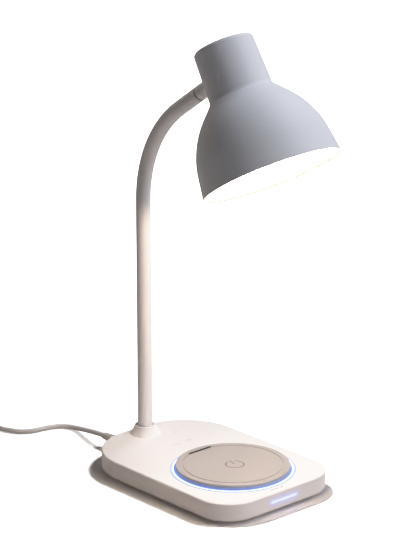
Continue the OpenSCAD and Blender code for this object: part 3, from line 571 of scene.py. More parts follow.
@dataclass
class LampBase(Assembly):
    """The slim base with its lit ring, taupe pad, dark slot and lit front bar. Sizes in millimetres.

    Attributes:
        pad_centre: centre of the round pad, seen from above.
        pad_top: height of the pad's top face.
        pad_edge: height of the rounding at its top edge.
        pad_painted_glow: sRGB hex code of the ring's light, painted as a glow on the pad's foot.
        pad_painted_glow_level: emission strength of that painted glow at its strongest.
        pad_painted_glow_fall: the power by which it fades on the way up.
        base_top: height of the base's top face.
        ring_in_r: inner radius of the lit ring.
        ring_out_r: outer radius of the lit ring.
        ring_level: emission strength of the ring.
        bar_z: height of the front bar's middle.
        bar_half_l: half the length of the bar's straight part.
        bar_level: emission strength of the bar.
        front_y: the front face.
        front_deep: depth of the front that the bar's light shows on.
        painted_spill: sRGB hex code of the front bar's light, painted as a glow on the plastic round the bar.
        painted_spill_level: emission strength of that painted glow beside the bar.
        painted_spill_fall: how fast it fades, per metre.
        slot_y: middle of the dark slot in the pad.
        slot_half: half the slot's length and half its width.
        edge_w: width of the dark line round the slot.
        edge_out: how far outside the slot that line's middle runs.
        sign_centre: centre of the power sign.
        sign_r: radius of its round line.
        sign_w: width of its lines.
        sign_open: first and last angle of the round line, in degrees.
        sign_stroke: ends of the straight line, from the centre.
        touch_marks: the faint marks on the top, between the post and the pad.
        front_marks: the marks on the top, over the front bar.
        ink_lift: how far ink stands above its face.
    """

    pad_centre: Point2 = (0.0, -33.0)
    pad_top: float = 22.3
    pad_edge: float = 1.2
    pad_painted_glow: str = "386fe7"
    pad_painted_glow_level: float = 0.8
    pad_painted_glow_fall: float = 1.5
    base_top: float = 18.0
    ring_in_r: float = 48.8
    ring_out_r: float = 52.8
    ring_level: float = 1.5
    bar_z: float = 10.0
    bar_half_l: float = 12.9
    bar_level: float = 0.95
    front_y: float = -95.0
    front_deep: float = 1.2
    painted_spill: str = "5577ff"
    painted_spill_level: float = 1.7
    painted_spill_fall: float = 750.0
    slot_y: float = 8.3
    slot_half: Point2 = (12.25, 0.7)
    edge_w: float = 0.75
    edge_out: float = 0.3
    sign_centre: Point2 = (0.1, -35.2)
    sign_r: float = 7.8
    sign_w: float = 1.0
    sign_open: Point2 = (93.0, 409.0)
    sign_stroke: tuple[Point2, ...] = ((2.0, 8.4), (0.3, 0.9))
    touch_marks: tuple[PrintedLine, ...] = (
        PrintedLine(((-1.6, 42.2), (5.7, 39.4)), 0.7),
        PrintedLine(arc_path((16.7, 41.2), 1.7, 0, 345, 15), 0.6, closed=True),
        PrintedLine(((17.5, 64.3), (23.5, 63.2)), 0.5),
    )
    front_marks: tuple[PrintedLine, ...] = (
        PrintedLine(((-10.3, -89.2), (-0.8, -89.8)), 0.9),
        PrintedLine(arc_path((1.9, -89.8), 0.55, 0, 330, 30), 1.1, closed=True),
    )
    ink_lift: float = 0.03
    # Across the ring, from the pad outwards: deep blue, white, and a thin blue line
    ring_stops: ClassVar[Stops] = (
        (0.0, "336bc3"), (0.24, "336bc3"), (0.34, "f7fbff"),
        (0.62, "f7fbff"), (0.72, "6683c6"), (1.0, "6683c6"),
    )
    # Across the bar, from its middle to 1 mm off it
    bar_stops: ClassVar[Stops] = ((0.0, "ffffff"), (0.6, "f4fbff"), (0.82, "a9c2ff"), (1.0, "5f8cf6"))
    body: ClassVar[Body] = Body.BASE
    plain: ClassVar[dict[Finish, tuple[str, ...]]] = {
        SHELL: ("bottom_cover",),
        WINDOW: ("pad_window",),
        RUBBER: ("rubber_feet",),
        CORD: ("cord_relief",),
        STEEL: ("cover_screws", "ballast_plate", "carrier_screws", "board_screws", "touch_springs"),
        COPPER: ("charging_coil",),
        BOARD: ("ring_led_board", "control_board", "light_bar_board"),
        NATURAL: ("pad_carrier", "post_bush", "post_foot_pad"),
        FERRITE: ("coil_ferrite",),
    }

    def special(self) -> dict[str, bpy.types.Material]:
        """Returns the nodes whose material is made for them alone."""
        return {
            "base_shell": self.shell(),
            "pad_cover": self.pad(),
            "ring_light_guide": self.ring(),
            "light_bar_lens": self.bar(),
        }

    def shell(self) -> bpy.types.Material:
        """Makes the base's plastic, with the front bar's blue light painted on it as a glow round the bar.

        Returns:
            Its material.
        """
        g = replace(SHELL, name="moulded_warm_white_abs_painted_spill").graph()
        # Painted light: the front face glows blue, fading away from the bar, for the bar's light on the
        # plastic.
        x, y, z = g.add("SeparateXYZ", {0: g.point}).outputs
        side = g.add("Math", {0: x}, operation="ABSOLUTE")
        past = g.add("Math", {0: side, 1: self.bar_half_l * MM}, operation="SUBTRACT")
        along = g.add("Math", {0: past, 1: 0.0}, operation="MAXIMUM")
        up = g.add("Math", {0: z, 1: self.bar_z * MM}, operation="SUBTRACT")
        flat = g.add("CombineXYZ", {0: along, 1: up})
        off = g.add("VectorMath", {0: flat}, operation="LENGTH")
        fade = g.add("Math", {0: off, 1: -self.painted_spill_fall}, operation="MULTIPLY")
        light = g.add("Math", {0: fade}, operation="EXPONENT")
        front = g.add("Math", {0: y, 1: (self.front_y + self.front_deep) * MM}, operation="LESS_THAN")
        shown = g.add("Math", {0: light, 1: front}, operation="MULTIPLY")
        strength = g.add("Math", {0: shown, 1: self.painted_spill_level}, operation="MULTIPLY")
        return g.surface({"Emission Color": linear(self.painted_spill), "Emission Strength": strength})

    def pad(self) -> bpy.types.Material:
        """Makes the pad's lacquer, with the ring's blue light painted on its foot as a glow.

        Returns:
            Its material.
        """
        g = PAD.graph()
        # Painted light: the pad's foot glows blue, fading upwards, for the ring's light falling on it.
        z = g.add("SeparateXYZ", {0: g.point}).outputs["Z"]
        low, high = self.base_top * MM, (self.pad_top - self.pad_edge) * MM
        foot = g.add("MapRange", {"Value": z, 1: low, 2: high, 3: 1.0, 4: 0.0})
        fade = g.add("Math", {0: foot, 1: self.pad_painted_glow_fall}, operation="POWER")
        strength = g.add("Math", {0: fade, 1: self.pad_painted_glow_level}, operation="MULTIPLY")
        return g.surface({"Emission Color": linear(self.pad_painted_glow), "Emission Strength": strength})

    def ring(self) -> bpy.types.Material:
        """Makes the lit ring: blue at the pad's foot, then white, then a thin blue line.

        Returns:
            Its material.
        """
        g = ShaderGraph("lit_frosted_acrylic_ring")
        centre = (*(value * MM for value in self.pad_centre), 0)
        centred = g.add("VectorMath", {0: g.point, 1: centre}, operation="SUBTRACT")
        flat = g.add("VectorMath", {0: centred, 1: (1, 1, 0)}, operation="MULTIPLY")
        radius = g.add("VectorMath", {0: flat}, operation="LENGTH")
        span = g.add("MapRange", {"Value": radius, 1: self.ring_in_r * MM, 2: self.ring_out_r * MM})
        return g.surface({
            "Base Color": linear("7d86a0"),
            "Roughness": 0.4,
            "Emission Color": g.add("ValToRGB", {0: span}, self.ring_stops),
            "Emission Strength": self.ring_level,
        })

    def bar(self) -> bpy.types.Material:
        """Makes the lit front bar, white in its core and blue at its edge.

        Returns:
            Its material.
        """
        g = ShaderGraph("lit_frosted_acrylic_bar")
        z = g.add("SeparateXYZ", {0: g.point}).outputs["Z"]
        up = g.add("Math", {0: z, 1: self.bar_z * MM}, operation="SUBTRACT")
        off = g.add("Math", {0: up}, operation="ABSOLUTE")
        off_mm = g.add("Math", {0: off, 1: MM}, operation="DIVIDE")
        return g.surface({
            "Base Color": linear("8b93a8"),
            "Roughness": 0.35,
            "Emission Color": g.add("ValToRGB", {0: off_mm}, self.bar_stops),
            "Emission Strength": self.bar_level,
        })

    def print_lines(
        self, name: str, lines: Iterable[PrintedLine], z: float, ink: Finish, slot: str
    ) -> bpy.types.Object:
        """Prints lines on a level face as one piece.

        Args:
            name: name of the piece.
            lines: the lines.
            z: height of the face, in millimetres.
            ink: what they are printed with.
            slot: the material slot.

        Returns:
            The piece.
        """
        tool = line_tool(self.store.plain(ink))
        vertices: list[Vector] = []
        faces: list[list[int]] = []
        for i, line in enumerate(lines):
            count = len(line.path)
            edges = [(k, k + 1) for k in range(count - 1)] + ([(count - 1, 0)] if line.closed else [])
            points = [Vector((*p, z + self.ink_lift)) * MM for p in line.path]
            part = new_mesh(f"{name}_{i}", points, [], edges)
            tool.apply(part, {"Width": line.width * MM})
            start = len(vertices)
            vertices += [v.co.copy() for v in part.data.vertices]
            for face in part.data.polygons:
                corners = [start + k for k in face.vertices]
                faces.append(corners if face.normal.z > 0 else corners[::-1])
            bpy.data.objects.remove(part)
        obj = new_mesh(name, vertices, faces)
        obj.data.materials.append(self.store.plain(ink))
        return self.settle(obj, slot)

    def build(self) -> list[bpy.types.Object]:
        """Prints the generic power sign, the slot's dark edge and the plain touch marks.

        Returns:
            The new pieces.
        """
        half_l, half_w = self.slot_half
        edge_r, end_x = half_w + self.edge_out, half_l - half_w
        right = arc_path((end_x, self.slot_y), edge_r, -90, 90, 30)
        left = arc_path((-end_x, self.slot_y), edge_r, 90, 270, 30)
        edge = (PrintedLine(right + left, self.edge_w, closed=True),)
        cx, cy = self.sign_centre
        sign = (
            PrintedLine(arc_path(self.sign_centre, self.sign_r, *self.sign_open), self.sign_w),
            PrintedLine(tuple((cx + x, cy + y) for x, y in self.sign_stroke), self.sign_w),
        )
        return [
            self.print_lines("power_sign", sign, self.pad_top, SIGN_INK, "pad_plastic"),
            self.print_lines("slot_edge", edge, self.pad_top, WINDOW, "dark_window"),
            self.print_lines("touch_marks", self.touch_marks, self.base_top, FAINT_INK, "shell_plastic"),
            self.print_lines("front_marks", self.front_marks, self.base_top, FRONT_INK, "shell_plastic"),
        ]


@dataclass
class LampArm(Assembly):
    """The bent tube with the pieces that turn with it in the post."""

    body: ClassVar[Body] = Body.ARM
    plain: ClassVar[dict[Finish, tuple[str, ...]]] = {
        ARM: ("arm_tube",),
        CORD: ("arm_lead",),
        STEEL: ("post_nut", "thrust_washer"),
        BRASS: ("arm_end_bush",),
    }


@dataclass
class LampNeck(Assembly):
    """The knuckle between the tube and the shade. Sizes in millimetres.

    Attributes:
        joint: middle of the joint with the tube.
        way: the direction that the knuckle runs in from there.
        seam_painted_shade_l: length of the painted shade in the gap at the joint.
        seam_painted_shade_colour: sRGB hex code of that painted shade.
    """

    joint: Point3 = (0.0, 7.94, 333.12)
    way: Point3 = (0.0, -0.833886, 0.551937)
    seam_painted_shade_l: float = 1.3
    seam_painted_shade_colour: str = "262120"
    body: ClassVar[Body] = Body.NECK
    plain: ClassVar[dict[Finish, tuple[str, ...]]] = {STEEL: ("spigot_clip",)}

    def special(self) -> dict[str, bpy.types.Material]:
        """Returns the nodes whose material is made for them alone."""
        return {"neck_knuckle": self.knuckle()}

    def knuckle(self) -> bpy.types.Material:
        """Makes the tube's paint, with painted shade in the gap where the knuckle turns in the tube.

        Returns:
            Its material.
        """
        g = ARM.graph()
        # Painted shade: a dark band at the joint's gap, for the shade that falls into it.
        out = g.add("VectorMath", {0: g.point, 1: Vector(self.joint) * MM}, operation="SUBTRACT")
        along = g.add("VectorMath", {0: out, 1: self.way}, operation="DOT_PRODUCT")
        gap = g.add("Math", {0: along, 1: self.seam_painted_shade_l * MM}, operation="LESS_THAN")
        return g.paint_over(gap, self.seam_painted_shade_colour)


@dataclass
class LampHead(Assembly):
    """The bell shade with its light. Sizes in millimetres and degrees.

    Attributes:
        pin: hinge pin of the shade, as (y, z).
        lean: lean of the shade's axis from upright.
        pin_h: height of the pin above the rim, along the axis.
        bulb_under_rim: how far the warm light stands below the rim's plane.
        bulb_r: radius of the ball that gives it.
        bulb_power: its power in watts.
        bulb_colour: sRGB hex code of its light.
        lip_painted_shade_h: height of the band of painted shade inside the lip.
        lip_painted_shade_colour: sRGB hex code of that band.
        reflector_painted_glow: sRGB hex code and emission strength of the light painted on the bell's inside.
        diffuser_glow: the same of the lit disc.
        up_limit: how far up the axis a face may look and still shine.
    """

    pin: Point2 = (-30.42, 358.51)
    lean: float = 31.0
    pin_h: float = 91.5
    bulb_under_rim: float = 14.0
    bulb_r: float = 8.0
    bulb_power: float = 1.05
    bulb_colour: str = "ffe4cd"
    lip_painted_shade_h: float = 1.2
    lip_painted_shade_colour: str = "5d544a"
    reflector_painted_glow: tuple[str, float] = ("fff4e8", 0.6)
    diffuser_glow: tuple[str, float] = ("fff0e0", 5.0)
    up_limit: float = 0.02
    body: ClassVar[Body] = Body.HEAD
    plain: ClassVar[dict[Finish, tuple[str, ...]]] = {
        STEEL: ("head_screws", "hinge_bracket", "bracket_screws", "hinge_pin", "hinge_nut"),
        ALUMINIUM: ("heat_sink",),
        WHITE_BOARD: ("led_board",),
        NATURAL: ("hinge_washers",),
    }

    def axis(self) -> Vector:
        """Returns the unit vector up the shade's axis."""
        lean = math.radians(self.lean)
        return Vector((0.0, math.sin(lean), math.cos(lean)))

    def rim_centre(self) -> Vector:
        """Returns the middle of the shade's rim, in metres."""
        return (Vector((0.0, *self.pin)) - self.pin_h * self.axis()) * MM

    def special(self) -> dict[str, bpy.types.Material]:
        """Returns the nodes whose material is made for them alone."""
        return {
            "shade_shell": self.shade(),
            # The reflector is no lamp: its glow is painted light, for the light that falls on it inside the
            # bell.
            "inner_reflector": self.shining(MILKY, self.reflector_painted_glow),
            "diffuser": self.shining(replace(MILKY, name="lit_opal_acrylic"), self.diffuser_glow),
        }

    def shade(self) -> bpy.types.Material:
        """Makes the shade's coat, with painted shade in a thin band inside its lip, so that the lit lip shows
        as a thin warm line.

        Returns:
            Its material.
        """
        g = SHADE.graph()
        out = g.add("VectorMath", {0: g.point, 1: self.rim_centre()}, operation="SUBTRACT")
        up = g.add("VectorMath", {0: out, 1: self.axis()}, operation="DOT_PRODUCT")
        facing = g.add("VectorMath", {0: out, 1: g.normal}, operation="DOT_PRODUCT")
        # Painted shade: the coat is darker in a thin band inside the lip, so that the lit lip does not show
        # white.
        low = g.add("Math", {0: up, 1: self.lip_painted_shade_h * MM}, operation="LESS_THAN")
        inside = g.add("Math", {0: facing, 1: 0.0}, operation="LESS_THAN")
        return g.paint_over(g.add("Math", {0: low, 1: inside}, operation="MULTIPLY"), self.lip_painted_shade_colour)

    def shining(self, finish: Finish, glow: tuple[str, float]) -> bpy.types.Material:
        """Makes a milky plastic shine out of the shade, and not back through the slot for the neck.

        Args:
            finish: the plastic.
            glow: sRGB hex code and emission strength.

        Returns:
            Its material.
        """
        g = finish.graph()
        colour, level = glow
        upward = g.add("VectorMath", {0: g.normal, 1: self.axis()}, operation="DOT_PRODUCT")
        out = g.add("Math", {0: upward, 1: self.up_limit}, operation="LESS_THAN")
        strength = g.add("Math", {0: out, 1: level}, operation="MULTIPLY")
        return g.surface({"Emission Color": linear(colour), "Emission Strength": strength})

    def light(self) -> bpy.types.Object:
        """Adds the warm light that leaves the shade, as a small ball that no camera sees.

        Returns:
            The light, which turns with the head.
        """
        data = bpy.data.lights.new("bulb_light", "POINT")
        data.energy = self.bulb_power
        data.color = linear(self.bulb_colour)[:3]
        data.shadow_soft_size = self.bulb_r * MM
        obj = link_object("bulb_light", data)
        obj.location = self.rim_centre() - self.axis() * self.bulb_under_rim * MM
        obj.visible_camera = obj.visible_glossy = False
        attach(obj, self.body.value)
        return obj


@dataclass
class CordCoil:
    """How the unseen length is wound, in millimetres and degrees, as in the CAD source.

    Attributes:
        centre: middle of the coil, seen from above.
        mid_r: radius between its two columns of turns.
        cord_d: diameter of the cord.
        floor_z: height of the tie's band under the coil.
        start_angle: where the cord runs on.
        end_angle: where it leaves.
        cross_at: where each turn steps over to the next.
        cross_half: half the angle that a step takes.
        layers: turns on each other.
        pace: angle from one point to the next.
    """

    centre: Point2 = (-97.58, 235.96)
    mid_r: float = 27.0
    cord_d: float = 4.5
    floor_z: float = 0.6
    start_angle: float = 4.0
    end_angle: float = 162.5
    cross_at: float = 268.0
    cross_half: float = 45.0
    layers: int = 4
    pace: float = 15.0

    def levels(self) -> list[Point2]:
        """Works out the turns, from the outer one on the floor to the one on top.

        Returns:
            (radius, height) of each turn, in millimetres.
        """
        out_r, in_r = self.mid_r + self.cord_d / 2, self.mid_r - self.cord_d / 2
        found: list[Point2] = []
        for layer in range(self.layers):
            z = self.floor_z + self.cord_d * (layer + 0.5)
            pair = [(out_r, z), (in_r, z)]
            found += pair if layer % 2 == 0 else pair[::-1]
        return found

    def points(self) -> list[Vector]:
        """Lays the winding's points.

        Returns:
            The points, in millimetres.
        """
        levels = self.levels()
        total = 360.0 * (len(levels) - 1) + self.end_angle - self.start_angle
        count = int(total // self.pace)
        out = []
        for i in range(count + 1):
            angle = self.start_angle + total * i / count
            turn = math.floor((angle - self.cross_at) / 360.0 + 0.5)
            step = ease((angle - self.cross_at - 360.0 * turn) / (2 * self.cross_half) + 0.5)
            low, high = (levels[min(max(t, 0), len(levels) - 1)] for t in (turn, turn + 1))
            r, z = (a * (1 - step) + b * step for a, b in zip(low, high))
            a = math.radians(angle)
            out.append(Vector((self.centre[0] + r * math.cos(a), self.centre[1] + r * math.sin(a), z)))
        return out


@dataclass
class LampCord(Assembly):
    """The power cord: out of the base, along the floor, and coiled past the picture's edge.

    Sizes in millimetres.

    Attributes:
        diameter: the sheath's diameter.
        length: the cord's whole length.
        exit: where it leaves its relief.
        root: where its steps are counted from: the relief's side place and the base's back edge.
        steps: the free stretch, as in the CAD source.
        coil: how the rest is wound.
        tail_l: length from the coil to the adapter's relief.
        tail_in: how far the cord runs on into that relief.
        adapter_z: height of the adapter's middle.
        pieces: straight pieces from one point of the route to the next.
    """

    diameter: float = 4.5
    length: float = 1455.0
    exit: Point3 = (-18.0, 114.8, 10.0)
    root: Point2 = (-18.0, 95.0)
    steps: tuple[Point3, ...] = (
        (0, 1, 10), (0, 8, 10), (0, 20.5, 10), (0.7, 29, 9.2), (2.1, 38, 7.7), (3.7, 47.5, 5.9),
        (5, 57, 4.1), (5.5, 66.5, 2.75), (2.6, 75, 2.3), (-3.6, 81.4, 2.3), (-12, 84.7, 2.3),
        (-24.8, 86.9, 2.3), (-32.2, 89.9, 2.3), (-38.1, 95.3, 2.3), (-41.7, 102.5, 2.3),
        (-45.2, 113, 2.3), (-48, 122.8, 2.4), (-50, 132.8, 2.7),
    )
    coil: CordCoil = field(default_factory=CordCoil)
    tail_l: float = 20.0
    tail_in: float = 4.0
    adapter_z: float = 12.0
    pieces: int = 3
    body: ClassVar[Body] = Body.BASE
    plain: ClassVar[dict[Finish, tuple[str, ...]]] = {
        CORD: ("power_cord", "cord_coil", "cord_tail"),
        RUBBER: ("coil_tie",),
    }

    def tail(self, start: Vector) -> list[Vector]:
        """Lays the points from the coil's top to the adapter.

        Args:
            start: the winding's last point.

        Returns:
            The points, in millimetres.
        """
        a = math.radians(self.coil.end_angle)
        along = Vector((-math.sin(a), math.cos(a), 0))
        fall = Vector((0, 0, start.z - self.adapter_z))
        points = [start + along * self.tail_l * k - fall * ease(k) for k in (0.25, 0.5, 0.75, 1.0)]
        return [*points, points[-1] + along * self.tail_in]

    def build(self) -> list[bpy.types.Object]:
        """Makes the cord as one curve, and hides the cord's solids.

        Returns:
            The curve object.
        """
        route = [Vector((self.root[0] + x, self.root[1] + y, z)) for x, y, z in self.steps]
        wound = self.coil.points()
        line = [p * MM for p in through(route + wound + self.tail(wound[-1]), self.pieces)]
        curve = bpy.data.curves.new("power_cord_line", "CURVE")
        curve.dimensions = "3D"
        curve.bevel_depth = self.diameter / 2 * MM
        curve.bevel_resolution = 4
        curve.use_fill_caps = True
        spline = curve.splines.new("POLY")
        spline.points.add(len(line) - 1)
        for target, point in zip(spline.points, line):
            target.co = (*point, 1)
        spline.use_smooth = True
        curve.materials.append(self.store.plain(CORD))
        obj = self.settle(link_object("power_cord_line", curve), "cord_sheath")
        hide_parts("power_cord", "cord_coil", "cord_tail")
        return [obj]


@dataclass
class CordAdapter(Assembly):
    """The mains adapter at the cord's end. Sizes in millimetres and degrees.

    Attributes:
        face: middle of the face that the cord enters, on the floor.
        turn: how far its length is turned from Y.
        half_w: half its width.
        mid_z: height of its middle.
        rib_from: the first rib, behind the face.
        rib_pitch: from one rib to the next.
        ribs: ribs on each side.
        rib_r: radius of a rib.
        rib_l: length of a rib between its round ends.
        rib_proud: how far a rib stands out of the side.
    """

    face: Point2 = (-137.5, 206.6)
    turn: float = -17.5
    half_w: float = 15.0
    mid_z: float = 12.0
    rib_from: float = 24.0
    rib_pitch: float = 2.4
    ribs: int = 6
    rib_r: float = 0.7
    rib_l: float = 11.0
    rib_proud: float = 0.4
    body: ClassVar[Body] = Body.BASE
    plain: ClassVar[dict[Finish, tuple[str, ...]]] = {
        SHELL: ("adapter_body",),
        BRASS: ("adapter_blades",),
        CORD: ("adapter_relief",),
    }

    def build(self) -> list[bpy.types.Object]:
        """Stands a row of grip ribs on both long sides.

        Returns:
            The ribs, as one piece.
        """
        a = math.radians(self.turn)
        across = Vector((math.cos(a), math.sin(a), 0))
        along = Vector((-math.sin(a), math.cos(a), 0))
        middle = Vector((*self.face, self.mid_z))
        side = self.half_w + self.rib_proud - self.rib_r
        places = [
            (middle + across * side * s - along * (self.rib_from + i * self.rib_pitch)) * MM
            for s in (-1, 1)
            for i in range(self.ribs)
        ]
        obj = new_mesh("adapter_ribs", places, [])
        rib_tool(self.store.plain(SHELL)).apply(obj, {"Radius": self.rib_r * MM, "Height": self.rib_l * MM})
        obj.data.shade_smooth()
        return [self.settle(obj, "shell_plastic")]


# ------------------------------------------------------------------ studio


@dataclass(frozen=True)
class PhotoView:
    """The camera solved from the photograph, in millimetres, degrees and pixels.

    Attributes:
        focal_px: focal length.
        frame_px: width and height of the picture.
        azimuth: bearing of the camera, as in bearing().
        elevation: how far above the floor it stands.
        distance_mm: how far from the lamp.
        shift_mm: how far right of that line, and how far up across it.
        lift_mm: height of the point on the lamp's axis that the distance is counted from.
        sensor_mm: width of the sensor.
    """

    focal_px: float = 2200.0
    frame_px: tuple[int, int] = (416, 555)
    azimuth: float = -42.25
    elevation: float = 16.98
    distance_mm: float = 1879.27
    shift_mm: Point2 = (1.22, 168.72)
    lift_mm: float = 2.0
    sensor_mm: float = 36.0


def bearing(azimuth: float, elevation: float) -> Vector:
    """Points to a place seen from the lamp.

    Args:
        azimuth: degrees round the lamp, 0 in front of it and 90 on its right.
        elevation: degrees above the floor.

    Returns:
        The unit vector towards the place.
    """
    a, e = math.radians(azimuth), math.radians(elevation)
    return Vector((math.sin(a) * math.cos(e), -math.cos(a) * math.cos(e), math.sin(e)))


@dataclass(frozen=True)
class StudioLight:
    """One soft disc light, in degrees, metres and watts.

    Attributes:
        name: name of the light.
        azimuth: its bearing, as in bearing().
        elevation: how far above the floor it stands.
        size: its diameter.
        power: its power.
        colour: sRGB hex code of its light.
        distance: how far from the lamp it stands.
    """

    name: str
    azimuth: float
    elevation: float
    size: float
    power: float
    colour: str
    distance: float = 1.8


STUDIO_LIGHTS = (
    StudioLight("key_light", 40.0, 55.0, 0.6, 16.5, "f2f5ff"),
    StudioLight("side_light", 100.0, 55.0, 0.6, 8.5, "f2f5ff"),
    StudioLight("front_light", -8.0, 22.0, 0.8, 3.2, "eef2ff"),
    StudioLight("back_light", 185.0, 20.0, 0.8, 3.5, "fff3ea"),
)
# The floor has its own lights: one throws the shadow to the left, a softer one there passes the
# cord by, and one fills the shadow in front
FLOOR_LIGHT = StudioLight("floor_light", 72.0, 52.0, 0.3, 56.0, "fffdfb")
FLOOR_SOFT = StudioLight("floor_soft_light", 72.0, 52.0, 0.5, 20.0, "fffdfb")
FLOOR_FILL = StudioLight("floor_fill", 45.0, 35.0, 0.3, 4.8, "d9deff")


@dataclass
class Studio:
    """The camera, the floor and the light. Sizes of the card and the bar's light in millimetres.

    Attributes:
        view: where the photograph was taken from.
        aim: what the lights face, in metres.
        room: brightness of the surroundings for everything but the camera.
        room_seen: their brightness for the camera.
        floor_half: half the side of the floor, in metres.
        floor_level: base colour of the floor that the camera sees, overexposed as in the photograph.
        floor_rough: roughness of the floor.
        far_glow: how brightly the floor shines further off, where it runs into the white surroundings.
        far_from: distance from the lamp at which that starts and where it is full, in metres.
        bounce: how brightly the white table around the lamp throws light back up.
        bounce_under: how far that table lies below the floor that the camera sees.
        bar_glow: power of the front bar's blue light on the floor, in watts.
        bar_glow_h: height of that light.
        bar_glow_out: how far in front of the base it stands.
        bar_glow_tilt: how far it faces down, in degrees.
        card_z: height of the shadow card.
        card_left: centre and radius of the round corner at its left front.
        card_right: the same at its right front.
        card_back: its straight back edge.
        white_at: brightness that is shown as white.
        shoulder: (brightness, brightness shown) pairs under it.
    """

    view: PhotoView = field(default_factory=PhotoView)
    aim: Vector = field(default_factory=lambda: Vector((0, -0.01, 0.16)))
    room: float = 0.065
    room_seen: float = 2.5
    floor_half: float = 20.0
    floor_level: float = 1.15
    floor_rough: float = 0.9
    far_glow: float = 2.0
    far_from: Point2 = (0.24, 0.75)
    bounce: float = 0.03
    bounce_under: float = 0.2
    bar_glow: float = 0.00012
    bar_glow_h: float = 2.0
    bar_glow_out: float = 1.5
    bar_glow_tilt: float = 45.0
    card_z: float = 4.0
    card_left: tuple[Point2, float] = ((-22.1, -57.0), 50.0)
    card_right: tuple[Point2, float] = ((34.9, -73.0), 34.0)
    card_back: float = 59.0
    white_at: float = 1.5
    shoulder: tuple[Point2, ...] = ((0.35, 0.35), (0.7, 0.7), (0.85, 0.83), (1.0, 0.915), (1.2, 0.972))

    def camera(self) -> bpy.types.Object:
        """Sets the camera at the photograph's place.

        Returns:
            The camera object.
        """
        v = self.view
        a = math.radians(v.azimuth)
        back = bearing(v.azimuth, v.elevation)
        right = Vector((math.cos(a), math.sin(a), 0))
        up = back.cross(right)
        data = bpy.data.cameras.new("photo_camera")
        data.sensor_fit = "AUTO"
        data.sensor_width = v.sensor_mm
        data.lens = v.focal_px / max(v.frame_px) * v.sensor_mm
        data.clip_start, data.clip_end = 0.05, 100.0
        obj = link_object("photo_camera", data)
        place = back * v.distance_mm + right * v.shift_mm[0] + up * v.shift_mm[1]
        obj.location = (place + Vector((0, 0, v.lift_mm))) * MM
        self.face(obj, -back)
        bpy.context.scene.camera = obj
        return obj

    def face(self, obj: bpy.types.Object, way: Vector) -> None:
        """Turns a camera or light to look along a direction."""
        obj.rotation_mode = "QUATERNION"
        obj.rotation_quaternion = way.to_track_quat("-Z", "Y")

    def sheet(self, name: str, z: float, material: bpy.types.Material) -> bpy.types.Object:
        """Makes one large flat sheet.

        Args:
            name: its name.
            z: its height, in metres.
            material: its material.

        Returns:
            The sheet.
        """
        half = self.floor_half
        corners = [(-half, -half, z), (half, -half, z), (half, half, z), (-half, half, z)]
        obj = new_mesh(name, corners, [(0, 1, 2, 3)])
        obj.data.materials.append(material)
        return obj

    def floor(self) -> tuple[bpy.types.Object, bpy.types.Object]:
        """Lays the white floor twice: as the camera sees it, overexposed, and as it throws light back.

        Returns:
            The floor that the camera sees, and the one that throws light back.
        """
        g = ShaderGraph("white_light_table")
        away = g.add("VectorMath", {0: g.point}, operation="LENGTH")
        near, far = self.far_from
        lit = g.add("MapRange", {"Value": away, 1: near, 2: far, 3: 0.0, 4: self.far_glow})
        seen = self.sheet("floor_seen", 0.0, g.surface({
            "Base Color": (*[self.floor_level] * 3, 1),
            "Roughness": self.floor_rough,
            "Specular IOR Level": 0.0,
            "Emission Color": linear("ffffff"),
            "Emission Strength": lit,
        }))
        seen.visible_diffuse = seen.visible_glossy = seen.visible_shadow = False
        paper = ShaderGraph("white_paper_bounce").surface({
            "Base Color": linear("c4bfbb"),
            "Roughness": self.floor_rough,
            "Emission Color": linear("ffe9da"),
            "Emission Strength": self.bounce,
        })
        under = self.sheet("floor_bounce", -self.bounce_under * MM, paper)
        under.visible_camera = False
        return seen, under

    def card(self) -> bpy.types.Object:
        """Hangs a small card just over the floor, which widens the base's shadow in front of it.

        Returns:
            The card, which nothing but the floor's light meets.
        """
        (left, left_r), (right, right_r) = self.card_left, self.card_right
        outline = [*arc_path(left, left_r, 180, 270), *arc_path(right, right_r, 270, 360)]
        outline += [(right[0] + right_r, self.card_back), (left[0] - left_r, self.card_back)]
        corners = [(x * MM, y * MM, self.card_z * MM) for x, y in outline]
        obj = new_mesh("shadow_card", corners, [tuple(range(len(corners)))])
        obj.data.materials.append(ShaderGraph("black_card").material)
        obj.visible_camera = obj.visible_diffuse = obj.visible_glossy = obj.visible_transmission = False
        return obj

    def area(self, lamp: StudioLight) -> bpy.types.Object:
        """Adds a disc light at its bearing round the lamp.

        Args:
            lamp: the light's place, size and power.

        Returns:
            The light object.
        """
        data = bpy.data.lights.new(lamp.name, "AREA")
        data.shape = "DISK"
        data.size = lamp.size
        data.energy = lamp.power
        data.color = linear(lamp.colour)[:3]
        obj = link_object(lamp.name, data)
        way = bearing(lamp.azimuth, lamp.elevation)
        obj.location = self.aim + way * lamp.distance
        self.face(obj, -way)
        return obj

    def glow(self, base: LampBase) -> bpy.types.Object:
        """Adds the blue light that the front bar throws on the floor.

        Args:
            base: the base, for the bar's place.

        Returns:
            The light object.
        """
        data = bpy.data.lights.new("bar_glow", "AREA")
        data.shape = "RECTANGLE"
        data.size, data.size_y = 2 * base.bar_half_l * MM, self.bar_glow_h * MM
        data.energy = self.bar_glow
        data.color = linear("8fa2ff")[:3]
        obj = link_object("bar_glow", data)
        obj.location = (0, (base.front_y - self.bar_glow_out) * MM, base.bar_z * MM)
        obj.rotation_euler = (math.radians(self.bar_glow_tilt), 0, 0)
        obj.visible_camera = False
        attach(obj, base.body.value)
        return obj

    def world(self) -> None:
        """Makes the surroundings dim for light and white for the camera."""
        world = bpy.data.worlds.new("studio")
        bpy.context.scene.world = world
        world.use_nodes = True
